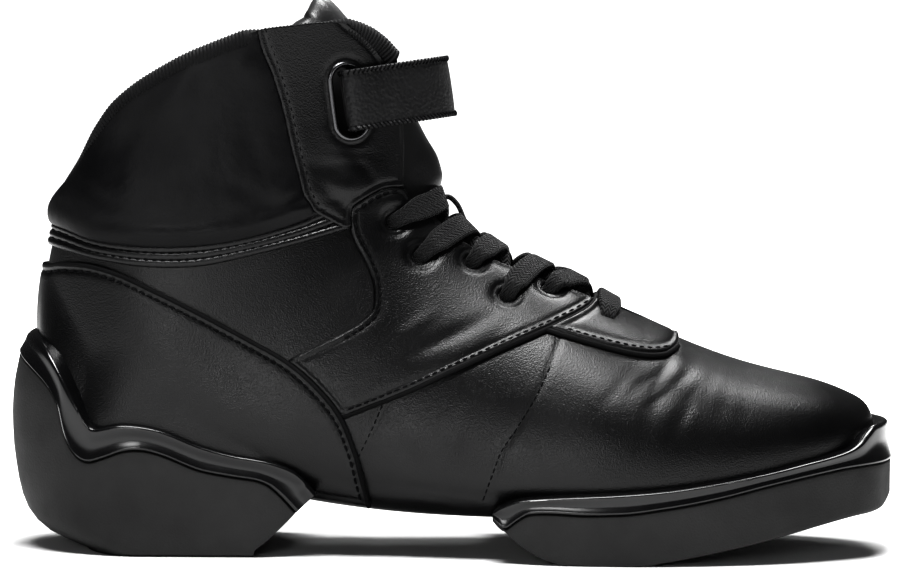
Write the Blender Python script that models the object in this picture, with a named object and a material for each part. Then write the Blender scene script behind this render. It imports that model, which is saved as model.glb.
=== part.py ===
"""Split-sole high-top dance sneaker, right shoe, standing empty and unbent on its two sole units.

Design frame: X runs from the heel towards the toe, +Y is the medial side, Z is up from the floor.
The upper is a lofted tube. Each section is a plane slice whose trace in the side view runs from a point on
the front line (vamp ridge, instep, shin) to a point on the back line (sole seat, heel curve, tendon), so the
sections fan from upright at the toe to nearly level at the collar.
"""
import math

import bmesh
import bpy
import numpy as np
from mathutils import Matrix, Vector

# Driving sizes of the upper, in metres
UPPER_LENGTH = 0.272
COLLAR_HEIGHT = 0.170
BALL_WIDTH = 0.094
COLLAR_BOW = 0.0247
WALL = 0.0022

# Layers laid on the upper
SEAT_GAP = 0.0003
OVERLAY = 0.0012
COLLAR_PAD = 0.0034
PANEL_GAP = 0.0005
BINDING_WIDTH = 0.0036
BINDING_HEIGHT = 0.0026

# Tongue, insole, laces and strap
TONGUE_GAP = 0.0012
TONGUE_THICKNESS = 0.0050
TONGUE_ROLL = 0.0034
TONGUE_HALF_WIDTH = 0.027
INSOLE_GAP = 0.0008
INSOLE_THICKNESS = 0.003
INSOLE_REACH = 0.84
LACE_WIDTH = 0.0066
LACE_THICKNESS = 0.0015
LACE_ROWS = 8
EYELET_RADIUS = 0.0023
STRAP_WIDTH = 0.0195
STRAP_THICKNESS = 0.0019
STRAP_TILT = math.radians(9.0)
SLOT_LENGTH = 0.0236
SLOT_WIDTH = 0.0102
RING_WALL = 0.0006
RING_FLANGE = 0.0013
RING_PROUD = 0.0009

# Sole units
SOLE_MARGIN = 0.0032
SOLE_TOP = 0.31
HEEL_BACK = 0.0085
HEEL_HALF_WIDTH = 0.0388
HEEL_WIDEST_AT = 0.036
HEEL_FRONT_AT = 0.098
HEEL_FRONT_HALF_WIDTH = 0.0365
GROOVE = 0.0004

# Sections of the upper. station: order along the fan. front and back: ends of the section in the side view, x as a
# share of UPPER_LENGTH from the heel and z as a share of COLLAR_HEIGHT. lateral and medial: half widths, and centre:
# sideways swing, as shares of BALL_WIDTH. widest: share of the depth at which the section is widest. top and
# bottom: superellipse exponents above and below that level.
SECTIONS = [
    # station, front_x, front_z, back_x, back_z, lateral, medial, centre, widest, top, bottom
    (0.0, 1.001, 0.241, 1.001, 0.241, 0.000, 0.000, 0.053, 0.50, 2.00, 2.00),
    (1.0, 0.993, 0.279, 0.993, 0.200, 0.150, 0.160, 0.053, 0.52, 2.00, 2.10),
    (2.0, 0.973, 0.301, 0.972, 0.166, 0.277, 0.277, 0.049, 0.58, 2.10, 2.35),
    (3.0, 0.937, 0.323, 0.937, 0.145, 0.372, 0.365, 0.043, 0.63, 2.20, 2.70),
    (4.0, 0.887, 0.343, 0.887, 0.127, 0.447, 0.425, 0.034, 0.67, 2.20, 3.00),
    (5.0, 0.829, 0.368, 0.829, 0.107, 0.495, 0.463, 0.024, 0.70, 2.15, 3.20),
    (6.0, 0.765, 0.406, 0.763, 0.088, 0.521, 0.476, 0.014, 0.72, 2.08, 3.30),
    (7.0, 0.709, 0.446, 0.689, 0.075, 0.526, 0.463, 0.003, 0.735, 1.98, 3.30),
    (8.0, 0.660, 0.488, 0.612, 0.068, 0.507, 0.427, -0.005, 0.735, 1.88, 3.20),
    (9.0, 0.607, 0.531, 0.522, 0.067, 0.468, 0.388, -0.010, 0.73, 1.82, 3.00),
    (10.0, 0.553, 0.572, 0.422, 0.074, 0.431, 0.367, -0.010, 0.72, 1.80, 2.80),
    (11.0, 0.513, 0.617, 0.310, 0.096, 0.399, 0.362, -0.008, 0.71, 1.82, 2.60),
    (12.0, 0.487, 0.664, 0.185, 0.129, 0.378, 0.362, -0.004, 0.70, 1.86, 2.50),
    (13.0, 0.478, 0.713, 0.077, 0.150, 0.367, 0.362, 0.000, 0.67, 1.92, 2.40),
    (14.0, 0.471, 0.755, 0.026, 0.222, 0.362, 0.362, 0.000, 0.63, 1.97, 2.30),
    (15.0, 0.465, 0.800, 0.009, 0.336, 0.356, 0.356, 0.000, 0.59, 2.02, 2.25),
    (16.0, 0.460, 0.850, 0.005, 0.445, 0.351, 0.351, 0.000, 0.56, 2.07, 2.20),
    (17.0, 0.455, 0.900, 0.013, 0.548, 0.352, 0.352, 0.000, 0.53, 2.12, 2.20),
    (18.0, 0.449, 0.949, 0.030, 0.671, 0.362, 0.362, 0.000, 0.50, 2.15, 2.20),
]
LAST_STATION = SECTIONS[-1][0]
BOW_START = 11.0
BOW_POWER = 1.5

# Rise of the top line above its chord. depth: share of the section's depth, rise: share of COLLAR_BOW.
TOP_LINE = [
    (0.00, 0.00), (0.05, 0.02), (0.075, 0.28), (0.10, 0.47), (0.16, 0.70), (0.26, 0.86), (0.38, 0.99),
    (0.52, 1.00), (0.66, 0.93), (0.76, 0.80), (0.83, 0.60), (0.91, 0.28), (1.00, 0.00),
]

# Half opening of the throat, as a share of BALL_WIDTH, at stations along the fan.
THROAT_START = 6.7
THROAT = [
    (6.7, 0.000), (6.85, 0.040), (7.1, 0.064), (7.5, 0.084), (8.0, 0.096), (9.0, 0.107), (10.0, 0.113),
    (11.0, 0.119), (12.0, 0.127), (12.6, 0.150), (13.0, 0.168), (13.5, 0.173), (14.0, 0.168), (15.0, 0.162),
    (16.0, 0.162), (17.0, 0.170), (18.0, 0.180),
]

# Seams in the side view, x as a share of UPPER_LENGTH and z as a share of COLLAR_HEIGHT.
COUNTER_TOP = [
    (-0.080, 0.532), (0.013, 0.537), (0.034, 0.543), (0.069, 0.543), (0.104, 0.529), (0.139, 0.505),
    (0.197, 0.460), (0.256, 0.410), (0.303, 0.368), (0.338, 0.322), (0.367, 0.267), (0.385, 0.202),
    (0.395, 0.147), (0.402, 0.100),
]
COUNTER_LOW = [(0.350, 0.110), (0.300, 0.128), (0.240, 0.147), (0.130, 0.168), (0.070, 0.172)]
BAND_TOP = [
    (-0.080, 0.630), (0.027, 0.613), (0.080, 0.588), (0.139, 0.578), (0.197, 0.581), (0.255, 0.596),
    (0.313, 0.625), (0.334, 0.640),
]
BAND_LOW = [
    (-0.080, 0.588), (0.019, 0.576), (0.081, 0.555), (0.139, 0.543), (0.197, 0.545), (0.255, 0.565),
    (0.313, 0.588), (0.367, 0.612),
]
FLAP_BACK = [
    (0.257, 1.150), (0.264, 0.982), (0.282, 0.898), (0.294, 0.833), (0.303, 0.768), (0.312, 0.713),
    (0.318, 0.676), (0.330, 0.644),
]
TAB_TOP = [
    (0.374, 0.612), (0.374, 0.650), (0.387, 0.668), (0.407, 0.686), (0.425, 0.690), (0.438, 0.681), (0.447, 0.665),
    (0.456, 0.655),
]
EYESTAY_BACK = [
    (0.303, 0.368), (0.366, 0.417), (0.390, 0.441), (0.402, 0.464), (0.402, 0.510), (0.392, 0.553),
    (0.379, 0.590), (0.374, 0.612),
]
EYESTAY_LOW = [
    (0.367, 0.267), (0.443, 0.316), (0.489, 0.350), (0.547, 0.392), (0.604, 0.430), (0.645, 0.459),
    (0.660, 0.476), (0.664, 0.498), (0.662, 0.600),
]
SADDLE_LOW = [(0.604, 0.430), (0.664, 0.402), (0.711, 0.386), (0.736, 0.387), (0.752, 0.403), (0.765, 0.440)]

# Lace holes, from the ankle to the toe: x and z shares in the side view. They stand in two staggered rows.
EYELETS = [
    (0.424, 0.625), (0.456, 0.561), (0.517, 0.549), (0.558, 0.488), (0.609, 0.499), (0.675, 0.442),
]
SLOT_CENTRE = (0.368, 0.852)
SLOT_LEAN = math.radians(8.5)

# Height of the tongue's top edge, as a share of COLLAR_HEIGHT, by place across it (0 middle, 1 side).
TONGUE_TOP = [(0.0, 1.000), (0.3, 0.996), (0.6, 0.975), (0.8, 0.945), (0.93, 0.890), (1.0, 0.830)]

# Tongue: how its upper end leans away from the upper's own surface, as shares of UPPER_LENGTH and COLLAR_HEIGHT.
TONGUE_START = 5.9
TONGUE_LEAN = [
    # station, back, up
    (7.0, 0.000, 0.000), (12.0, 0.004, 0.000), (13.5, 0.006, 0.008), (15.0, 0.013, 0.014),
    (16.0, 0.026, 0.028), (17.0, 0.058, 0.060), (18.0, 0.103, 0.088),
]

# Strap, from its sewn end on the medial flap, round the front, under the lateral flap, out through the slot and
# back over itself to the free end. around: as in surface(), measured from the slot where from_slot is 1.
# distance: from the upper's outer form to the middle of the strap, as a share of STRAP_THICKNESS.
STRAP_RUN = [
    # around, from_slot, distance
    (0.325, 0, 1.95), (0.280, 0, 1.95), (0.200, 0, 2.05), (0.120, 0, 2.45), (0.050, 0, 2.90), (0.000, 0, 2.95),
    (-0.050, 0, 2.35), (-0.098, 0, 0.20), (-0.128, 0, -1.95), (-0.165, 0, -2.50),
    (0.044, 1, -2.60), (0.020, 1, -2.50), (0.007, 1, -1.85), (0.003, 1, 0.00), (0.002, 1, 1.20),
    (-0.006, 1, 2.10), (0.002, 1, 2.85), (0.022, 1, 3.10), (0.055, 1, 2.95), (-0.155, 0, 2.90),
    (-0.100, 0, 3.35), (-0.050, 0, 4.05), (0.000, 0, 4.30), (0.050, 0, 4.25),
    (0.120, 0, 3.80), (0.200, 0, 3.45), (0.260, 0, 3.35), (0.300, 0, 3.35),
]

# Heel unit, level by level. height: share of COLLAR_HEIGHT, insets from its widest outline: shares of its width.
HEEL_LEVELS = [
    # height, back_inset, side_inset
    (0.000, 0.500, 0.026), (0.004, 0.400, 0.012), (0.011, 0.300, 0.006), (0.023, 0.205, 0.003),
    (0.048, 0.115, 0.001), (0.090, 0.055, 0.000), (0.150, 0.024, 0.000), (0.210, 0.008, 0.000),
    (0.265, 0.004, 0.000), (0.315, 0.013, 0.003), (0.365, 0.034, 0.012), (0.398, 0.066, 0.028),
    (0.418, 0.120, 0.055),
]
HEEL_FRONT = [(0.262, -0.030), (0.266, 0.013), (0.281, 0.032), (0.301, 0.063), (0.314, 0.085), (0.350, 0.140)]
HEEL_GROOVE = [
    (-0.060, 0.420), (-0.022, 0.372), (0.016, 0.323), (0.033, 0.283), (0.040, 0.237), (0.048, 0.205),
    (0.059, 0.184), (0.072, 0.176), (0.090, 0.184), (0.113, 0.197), (0.136, 0.199), (0.162, 0.188),
    (0.201, 0.163), (0.240, 0.151), (0.273, 0.142), (0.292, 0.122), (0.314, 0.085),
]
HEEL_RAND_TOP = [
    (-0.060, 0.424), (-0.004, 0.418), (0.008, 0.405), (0.023, 0.378), (0.042, 0.324), (0.057, 0.279),
    (0.069, 0.242), (0.079, 0.230), (0.107, 0.235), (0.134, 0.232), (0.162, 0.221), (0.201, 0.198),
    (0.239, 0.184), (0.279, 0.177), (0.310, 0.163), (0.328, 0.139), (0.340, 0.118),
]

# Forefoot unit in the side view, x as a share of UPPER_LENGTH and z as a share of COLLAR_HEIGHT.
FOREFOOT_BACK_STATION = 9.6
FOREFOOT_EDGE = [
    # inset and rise above the local floor, both in shares of SOLE_MARGIN
    (0.90, 0.00), (0.35, 0.10), (0.10, 0.35), (0.00, 0.80),
]
FOREFOOT_FLOOR = [
    (0.540, 0.085), (0.557, 0.060), (0.578, 0.031), (0.606, 0.008), (0.628, 0.000), (0.708, 0.000),
    (0.745, 0.008), (0.803, 0.025), (0.864, 0.046), (0.920, 0.067), (0.966, 0.082), (1.004, 0.091),
    (1.020, 0.110),
]
FOREFOOT_GROOVE = [
    (0.540, 0.090), (0.557, 0.066), (0.571, 0.081), (0.586, 0.094), (0.608, 0.096), (0.648, 0.094),
    (0.691, 0.096), (0.740, 0.106), (0.802, 0.124), (0.863, 0.147), (0.924, 0.166), (0.963, 0.175),
    (0.994, 0.178), (1.030, 0.179),
]
FOREFOOT_RAND_TOP = [
    (0.540, 0.094), (0.556, 0.110), (0.577, 0.121), (0.617, 0.127), (0.679, 0.133), (0.740, 0.141),
    (0.802, 0.155), (0.864, 0.173), (0.910, 0.189), (0.943, 0.200), (0.963, 0.210), (0.975, 0.222),
    (0.984, 0.238), (0.995, 0.251), (1.030, 0.254),
]

# Height of a lace above the upper's outer form along one visible strand, in metres.
LACE_RISE = [(0.0, -0.0012), (0.25, 0.0004), (0.40, 0.0019), (0.54, 0.0029), (0.8, 0.0029), (1.0, 0.0026)]

# Outward swell of the tongue's middle between the flaps, as a share of TONGUE_THICKNESS, by station.
TONGUE_PUFF = [(5.0, 0.0), (12.3, 0.0), (13.4, 0.52), (15.6, 0.45), (18.0, 0.0)]


def spline(table, columns=None):
    """A natural cubic spline through the rows of a table, whose first column is the parameter."""
    data = np.array(table, float)
    knots, values = data[:, 0], data[:, 1:]
    step = np.diff(knots)
    size = len(knots)
    system = np.eye(size)
    target = np.zeros_like(values)
    for i in range(1, size - 1):
        system[i, i - 1:i + 2] = step[i - 1], 2 * (step[i - 1] + step[i]), step[i]
        target[i] = 6 * ((values[i + 1] - values[i]) / step[i] - (values[i] - values[i - 1]) / step[i - 1])
    bend = np.linalg.solve(system, target)

    def evaluate(at):
        at = np.atleast_1d(np.asarray(at, float))
        k = np.clip(np.searchsorted(knots, at) - 1, 0, size - 2)
        h = step[k][:, None]
        left = (knots[k + 1] - at)[:, None] / h
        right = (at - knots[k])[:, None] / h
        curve = (left ** 3 - left) * bend[k] + (right ** 3 - right) * bend[k + 1]
        return left * values[k] + right * values[k + 1] + curve * h ** 2 / 6

    return evaluate


def graph(table):
    """A shape-preserving cubic through (x, y) rows: it never overshoots a row."""
    x, y = np.array(table, float).T
    h, slope = np.diff(x), np.diff(y) / np.diff(x)
    tangent = np.zeros(len(x))
    same = slope[1:] * slope[:-1] > 0
    w1, w2 = 2 * h[1:] + h[:-1], h[1:] + 2 * h[:-1]
    with np.errstate(divide="ignore", invalid="ignore"):
        mean = (w1 + w2) / (w1 / slope[:-1] + w2 / slope[1:])
    tangent[1:-1] = np.where(same, mean, 0.0)
    tangent[0], tangent[-1] = slope[0], slope[-1]

    def evaluate(at):
        at = np.asarray(at, float)
        inside = np.clip(at, x[0], x[-1])
        k = np.clip(np.searchsorted(x, inside) - 1, 0, len(x) - 2)
        t = (inside - x[k]) / h[k]
        rise = (2 * t ** 3 - 3 * t ** 2 + 1) * y[k] + (3 * t ** 2 - 2 * t ** 3) * y[k + 1]
        return rise + h[k] * ((t ** 3 - 2 * t ** 2 + t) * tangent[k] + (t ** 3 - t ** 2) * tangent[k + 1])

    return evaluate


def mirrored_toe(rows):
    """The table with the toe's first rows mirrored through the nose, so that the toe closes round."""
    nose = np.array(rows[0], float)
    ghosts = []
    for row in rows[2:0:-1]:
        ghost = np.array(row, float)
        ghost[0] = -ghost[0]
        ghost[[2, 4]] = 2 * nose[[2, 4]] - ghost[[2, 4]]
        ghost[[5, 6]] = -ghost[[5, 6]]
        ghosts.append(tuple(ghost))
    return ghosts + list(rows)


SECTION_SPLINE = spline(mirrored_toe(SECTIONS))
TOP_LINE_RISE = graph(TOP_LINE)
THROAT_OPENING = graph(THROAT)


def section(station):
    """Sizes of the sections at these stations, in metres: ends, half widths, swing, widest level, exponents."""
    row = SECTION_SPLINE(station)
    front = row[:, [0, 1]] * (UPPER_LENGTH, COLLAR_HEIGHT)
    back = row[:, [2, 3]] * (UPPER_LENGTH, COLLAR_HEIGHT)
    return front, back, row[:, 4:7] * BALL_WIDTH, row[:, 7], row[:, 8], row[:, 9]


def surface(station, around):
    """Points of the upper's outer form. around runs from -1 (back line) over the lateral side to 0 (front line)
    and over the medial side to 1 (back line)."""
    station, around = np.broadcast_arrays(np.asarray(station, float), np.asarray(around, float))
    shape = station.shape
    station, around = station.ravel(), around.ravel()
    front, back, widths, widest, top, bottom = section(station)
    angle = np.abs(around) * math.pi
    half = np.where(around < 0, widths[:, 0], widths[:, 1])
    upper = angle <= math.pi / 2
    sine, cosine = np.abs(np.sin(angle)), np.abs(np.cos(angle))
    power = 2 / np.where(upper, top, bottom)
    side = half * sine ** power
    depth = np.where(upper, widest * (1 - cosine ** power), widest + (1 - widest) * cosine ** power)
    chord = back - front
    length = np.maximum(np.linalg.norm(chord, axis=1), 1e-9)[:, None]
    rise = np.clip((station - BOW_START) / (LAST_STATION - BOW_START), 0, None) ** BOW_POWER
    bow = (COLLAR_BOW * rise * TOP_LINE_RISE(depth))[:, None]
    flat = front + depth[:, None] * chord + bow * np.stack([chord[:, 1], -chord[:, 0]], 1) / length
    across = widths[:, 2] + np.sign(around) * side
    return np.stack([flat[:, 0], across, flat[:, 1]], 1).reshape(shape + (3,))


def normal(station, around):
    """Outward unit normals of the upper's outer form."""
    station, around = np.broadcast_arrays(np.asarray(station, float), np.asarray(around, float))
    s = np.maximum(station, 0.05)
    a = np.clip(around, -1 + 2e-3, 1 - 2e-3)
    along = surface(s + 0.01, a) - surface(s - 0.01, a)
    round_ = surface(s, a + 1e-3) - surface(s, a - 1e-3)
    out = np.cross(round_, along)
    at_back = np.abs(around) > 1 - 2e-3
    out[..., 1] = np.where(at_back, 0.0, out[..., 1])
    return out / np.maximum(np.linalg.norm(out, axis=-1, keepdims=True), 1e-12)


def offset_surface(station, around, distance):
    return surface(station, around) + normal(station, around) * np.asarray(distance)[..., None]


def throat_edge(station):
    """The value of around at which the throat's edge lies, for one side."""
    station = np.atleast_1d(np.asarray(station, float))
    opening = np.where(station > THROAT_START, THROAT_OPENING(station), 0.0) * BALL_WIDTH
    widths, top = section(station)[2], section(station)[4]
    share = np.clip(opening / np.maximum(widths[:, 1], 1e-6), 0, 0.99)
    return np.arcsin(share ** (top / 2)) / math.pi


def find_on_side(x_share, z_share, side):
    """(station, around) of the surface point seen at this place in the side view."""
    target = np.array([x_share * UPPER_LENGTH, z_share * COLLAR_HEIGHT])
    stations, arounds = np.meshgrid(np.linspace(1, LAST_STATION, 120), np.linspace(0.02, 0.98, 80), indexing="ij")
    seen = surface(stations, side * arounds)[..., [0, 2]]
    best = np.unravel_index(np.argmin(np.linalg.norm(seen - target, axis=-1)), stations.shape)
    s, a = stations[best], arounds[best]
    for _ in range(8):
        here = surface(s, side * a)[[0, 2]]
        by_s = (surface(s + 1e-3, side * a)[[0, 2]] - here) / 1e-3
        by_a = (surface(s, side * (a + 1e-4))[[0, 2]] - here) / 1e-4
        step = np.linalg.lstsq(np.stack([by_s, by_a], 1), target - here, rcond=None)[0]
        s, a = s + float(np.clip(step[0], -0.5, 0.5)), float(np.clip(a + np.clip(step[1], -0.05, 0.05), 0.0, 1.0))
    return s, side * a


def material(name, colour, roughness, metallic=0.0):
    made = bpy.data.materials.new(name)
    made.use_nodes = True
    shader = made.node_tree.nodes["Principled BSDF"]
    shader.inputs["Base Color"].default_value = (*colour, 1.0)
    shader.inputs["Roughness"].default_value = roughness
    shader.inputs["Metallic"].default_value = metallic
    return made


def add_object(name, mesh, finish=None, cutter=False):
    made = bpy.data.objects.new(name, mesh)
    bpy.context.scene.collection.objects.link(made)
    if finish is not None:
        mesh.materials.append(finish)
    if cutter:
        made.hide_render = True
        made.display_type = "WIRE"
    else:
        mesh.shade_smooth()
        mesh.set_sharp_from_angle(angle=math.radians(35))
    return made


def mesh_of(name, points, faces):
    mesh = bpy.data.meshes.new(name)
    mesh.from_pydata([tuple(p) for p in points], [], faces)
    work = bmesh.new()
    work.from_mesh(mesh)
    bmesh.ops.remove_doubles(work, verts=work.verts, dist=1e-6)
    bmesh.ops.recalc_face_normals(work, faces=work.faces)
    if work.calc_volume(signed=True) < 0:
        bmesh.ops.reverse_faces(work, faces=work.faces)
    work.to_mesh(mesh)
    work.free()
    return mesh


def boolean(target, cutter, operation):
    step = target.modifiers.new(operation.lower() + "_" + cutter.name, "BOOLEAN")
    step.object = cutter
    step.operation = operation
    step.solver = "EXACT"


def shell(outer, inner, around, present=None):
    """Points and triangles of the closed solid between two point grids of one shape. Quads that are not present are
    left out and walled round. Every quad is split from its corner nearer the front line, so shells that share grid
    lines have parallel facets."""
    rows, columns = outer.shape[:2]
    if present is None:
        present = np.ones((rows - 1, columns - 1), bool)
    total = rows * columns
    index = np.arange(total).reshape(rows, columns)
    flat_outer = outer.reshape(-1, 3)
    flat_around = np.broadcast_to(around, (rows, columns)).ravel()
    faces = []

    def wall(p, q):
        on_ridge = flat_around[p] == 0 and flat_around[q] == 0
        if not on_ridge and np.linalg.norm(flat_outer[p] - flat_outer[q]) > 1e-7:
            faces.append((p, q, q + total))
            faces.append((p, q + total, p + total))

    def missing(i, j):
        return not (0 <= i < rows - 1 and 0 <= j < columns - 1 and present[i, j])

    for i in range(rows - 1):
        for j in range(columns - 1):
            if not present[i, j]:
                continue
            a, b, c, d = index[i, j], index[i + 1, j], index[i + 1, j + 1], index[i, j + 1]
            if abs(flat_around[a]) < abs(flat_around[d]):
                pair = ((a, b, c), (a, c, d))
            else:
                pair = ((a, b, d), (b, c, d))
            for tri in pair:
                faces.append(tri)
                faces.append(tuple(v + total for v in reversed(tri)))
            for neighbour, edge in (((i, j - 1), (a, b)), ((i, j + 1), (c, d)), ((i - 1, j), (d, a)), ((i + 1, j), (b, c))):
                if missing(*neighbour):
                    wall(*edge)
    return np.concatenate([flat_outer, inner.reshape(-1, 3)]), [tuple(int(v) for v in f) for f in faces]


def smooth_line(points, per_span=3):
    """A Catmull-Rom curve through side-view points given as shares, in metres."""
    p = np.array(points, float) * (UPPER_LENGTH, COLLAR_HEIGHT)
    p = np.vstack([2 * p[0] - p[1], p, 2 * p[-1] - p[-2]])
    line = []
    for i in range(1, len(p) - 2):
        for k in range(per_span):
            t = k / per_span
            line.append(0.5 * (
                2 * p[i] + (p[i + 1] - p[i - 1]) * t
                + (2 * p[i - 1] - 5 * p[i] + 4 * p[i + 1] - p[i + 2]) * t ** 2
                + (3 * p[i] - p[i - 1] - 3 * p[i + 1] + p[i + 2]) * t ** 3
            ))
    line.append(p[-2])
    return np.array(line)


def corner(*shares):
    """Side-view points, given as shares singly or in tables, in metres."""
    return np.vstack([np.array(s, float).reshape(-1, 2) for s in shares]) * (UPPER_LENGTH, COLLAR_HEIGHT)


def shrunk(outline, inset):
    """A closed outline moved inwards by an inset."""
    outline = np.array(outline)
    outline = outline[np.linalg.norm(outline - np.roll(outline, 1, axis=0), axis=1) > PANEL_GAP]
    area = 0.5 * np.sum(outline[:, 0] * np.roll(outline[:, 1], -1) - np.roll(outline[:, 0], -1) * outline[:, 1])
    if area < 0:
        outline = outline[::-1]
    before = outline - np.roll(outline, 1, axis=0)
    after = np.roll(outline, -1, axis=0) - outline
    before /= np.maximum(np.linalg.norm(before, axis=1, keepdims=True), 1e-9)
    after /= np.maximum(np.linalg.norm(after, axis=1, keepdims=True), 1e-9)
    left = np.stack([-(before + after)[:, 1], (before + after)[:, 0]], 1)
    size = np.maximum(np.sum(left ** 2, axis=1) / 2, 0.5)[:, None]
    return outline + left / size * inset


def side_prism(name, outline, side=0):
    """A hidden cutter: a side-view outline run across the shoe. side -1 keeps to the lateral half, 1 to the medial."""
    reach = BALL_WIDTH
    low = 0.0 if side > 0 else -reach
    high = 0.0 if side < 0 else reach
    count = len(outline)
    points = [(x, low, z) for x, z in outline] + [(x, high, z) for x, z in outline]
    faces = [tuple(range(count)), tuple(range(2 * count - 1, count - 1, -1))]
    faces += [(k, (k + 1) % count, (k + 1) % count + count, k + count) for k in range(count)]
    return add_object(name, mesh_of(name, points, faces), cutter=True)


ROWS = np.array([
    0, 0.3, 0.7, 1.2, 2, 3, 4, 5, 6, THROAT_START, 7.3, 8, 9, 10, 11, 12, 12.5, 13, 13.5, 14, 14.5, 15, 16, 17, 18,
])
HALF_COLUMNS = 14
MARGIN_COLUMN = 11
BALL_OPENING = (3, 8)
HEEL_OPENING = (11, 13)


def grid_around(rows):
    """Values of around for the upper's own grid: throat edge, lateral side, back line, medial side, throat edge."""
    share = np.linspace(0, 1, HALF_COLUMNS + 1)
    edge = throat_edge(rows)[:, None]
    half = edge + (1 - edge) * share
    return np.concatenate([-half, half[:, -2::-1]], axis=1)


def build_upper(finish):
    """The hollow lasted upper, open at the collar, throat, and inside the lasting margins under ball and heel."""
    around = grid_around(ROWS)
    stations = np.repeat(ROWS[:, None], around.shape[1], axis=1)
    outer = surface(stations, around)
    inner = offset_surface(stations, around, np.full_like(stations, -WALL))
    inner[0] = outer[0] - (WALL, 0, 0)
    present = np.ones((len(ROWS) - 1, around.shape[1] - 1), bool)
    for low, high in (BALL_OPENING, HEEL_OPENING):
        rows = (ROWS[:-1] >= low) & (ROWS[:-1] < high)
        present[rows, MARGIN_COLUMN:-MARGIN_COLUMN] = False
    return add_object("upper", mesh_of("upper", *shell(outer, inner, around, present)), finish)


def build_closed_form(name, distance, low, high):
    """A hidden cutter: the upper's outer form at a distance, on the upper's own grid lines, closed all round."""
    rows = between(low, high)
    around = grid_around(rows)[:, :-1]
    stations = np.repeat(rows[:, None], around.shape[1], axis=1)
    grid = offset_surface(stations, around, np.full_like(stations, distance))
    if low == 0:
        grid[0] = surface(0.0, 0.0) + np.array([distance, 0, 0])
    count = around.shape[1]
    index = np.arange(grid.shape[0] * count).reshape(-1, count)
    faces = [tuple(index[-1])]
    if low > 0:
        faces.append(tuple(index[0][::-1]))
    for i in range(len(rows) - 1):
        for j in range(count):
            k = (j + 1) % count
            a, b, c, d = index[i, j], index[i + 1, j], index[i + 1, k], index[i, k]
            if j < HALF_COLUMNS:
                faces += [(a, b, c), (a, c, d)]
            else:
                faces += [(a, b, d), (b, c, d)]
    mesh = mesh_of(name, grid.reshape(-1, 3), [tuple(int(v) for v in f) for f in faces])
    return add_object(name, mesh, cutter=True)


def between(low, high):
    return ROWS[(ROWS >= low - 1e-6) & (ROWS <= high + 1e-6)]


def build_overlay(name, finish, outline, reach, columns=(0, HALF_COLUMNS), side=0, swell=0.0, over_ridge=False):
    """A leather panel: the part of the layer between two larger forms that lies inside a side-view outline.
    reach: first and last station, columns: first and last column from the throat on one side. swell adds padding
    that fades towards the first and last rows."""
    rows = between(*reach)
    around = grid_around(rows)
    first, last = columns
    if side < 0:
        around = around[:, first:last + 1]
    elif side > 0:
        around = around[:, around.shape[1] - 1 - last:around.shape[1] - first]
    elif over_ridge:
        lateral, medial = around[:, last::-1], around[:, :around.shape[1] - 2 - last:-1]
        around = np.concatenate([lateral, medial], axis=1)
    stations = np.repeat(rows[:, None], around.shape[1], axis=1)
    present = np.ones((len(rows) - 1, around.shape[1] - 1), bool)
    if over_ridge:
        present[:, last] = False
    puff = swell * np.sin(np.linspace(0, math.pi, len(rows)))[:, None] ** 0.6 * np.ones_like(stations)
    inner = offset_surface(stations, around, np.full_like(stations, SEAT_GAP))
    outer = offset_surface(stations, around, SEAT_GAP + OVERLAY + puff)
    made = add_object(name, mesh_of(name, *shell(outer, inner, around, present)), finish)
    boolean(made, side_prism(name + "_outline", shrunk(outline, PANEL_GAP / 2), side), "INTERSECT")
    return made


def top_line(drop):
    """The collar's top line in the side view from the heel to the flap, moved down by a drop."""
    line = surface(LAST_STATION, np.linspace(-1, -float(throat_edge(LAST_STATION)[0]), 40))[:, [0, 2]]
    way = np.gradient(line, axis=0)
    way /= np.linalg.norm(way, axis=1, keepdims=True)
    return line + drop * np.stack([way[:, 1], -way[:, 0]], 1)


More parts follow.
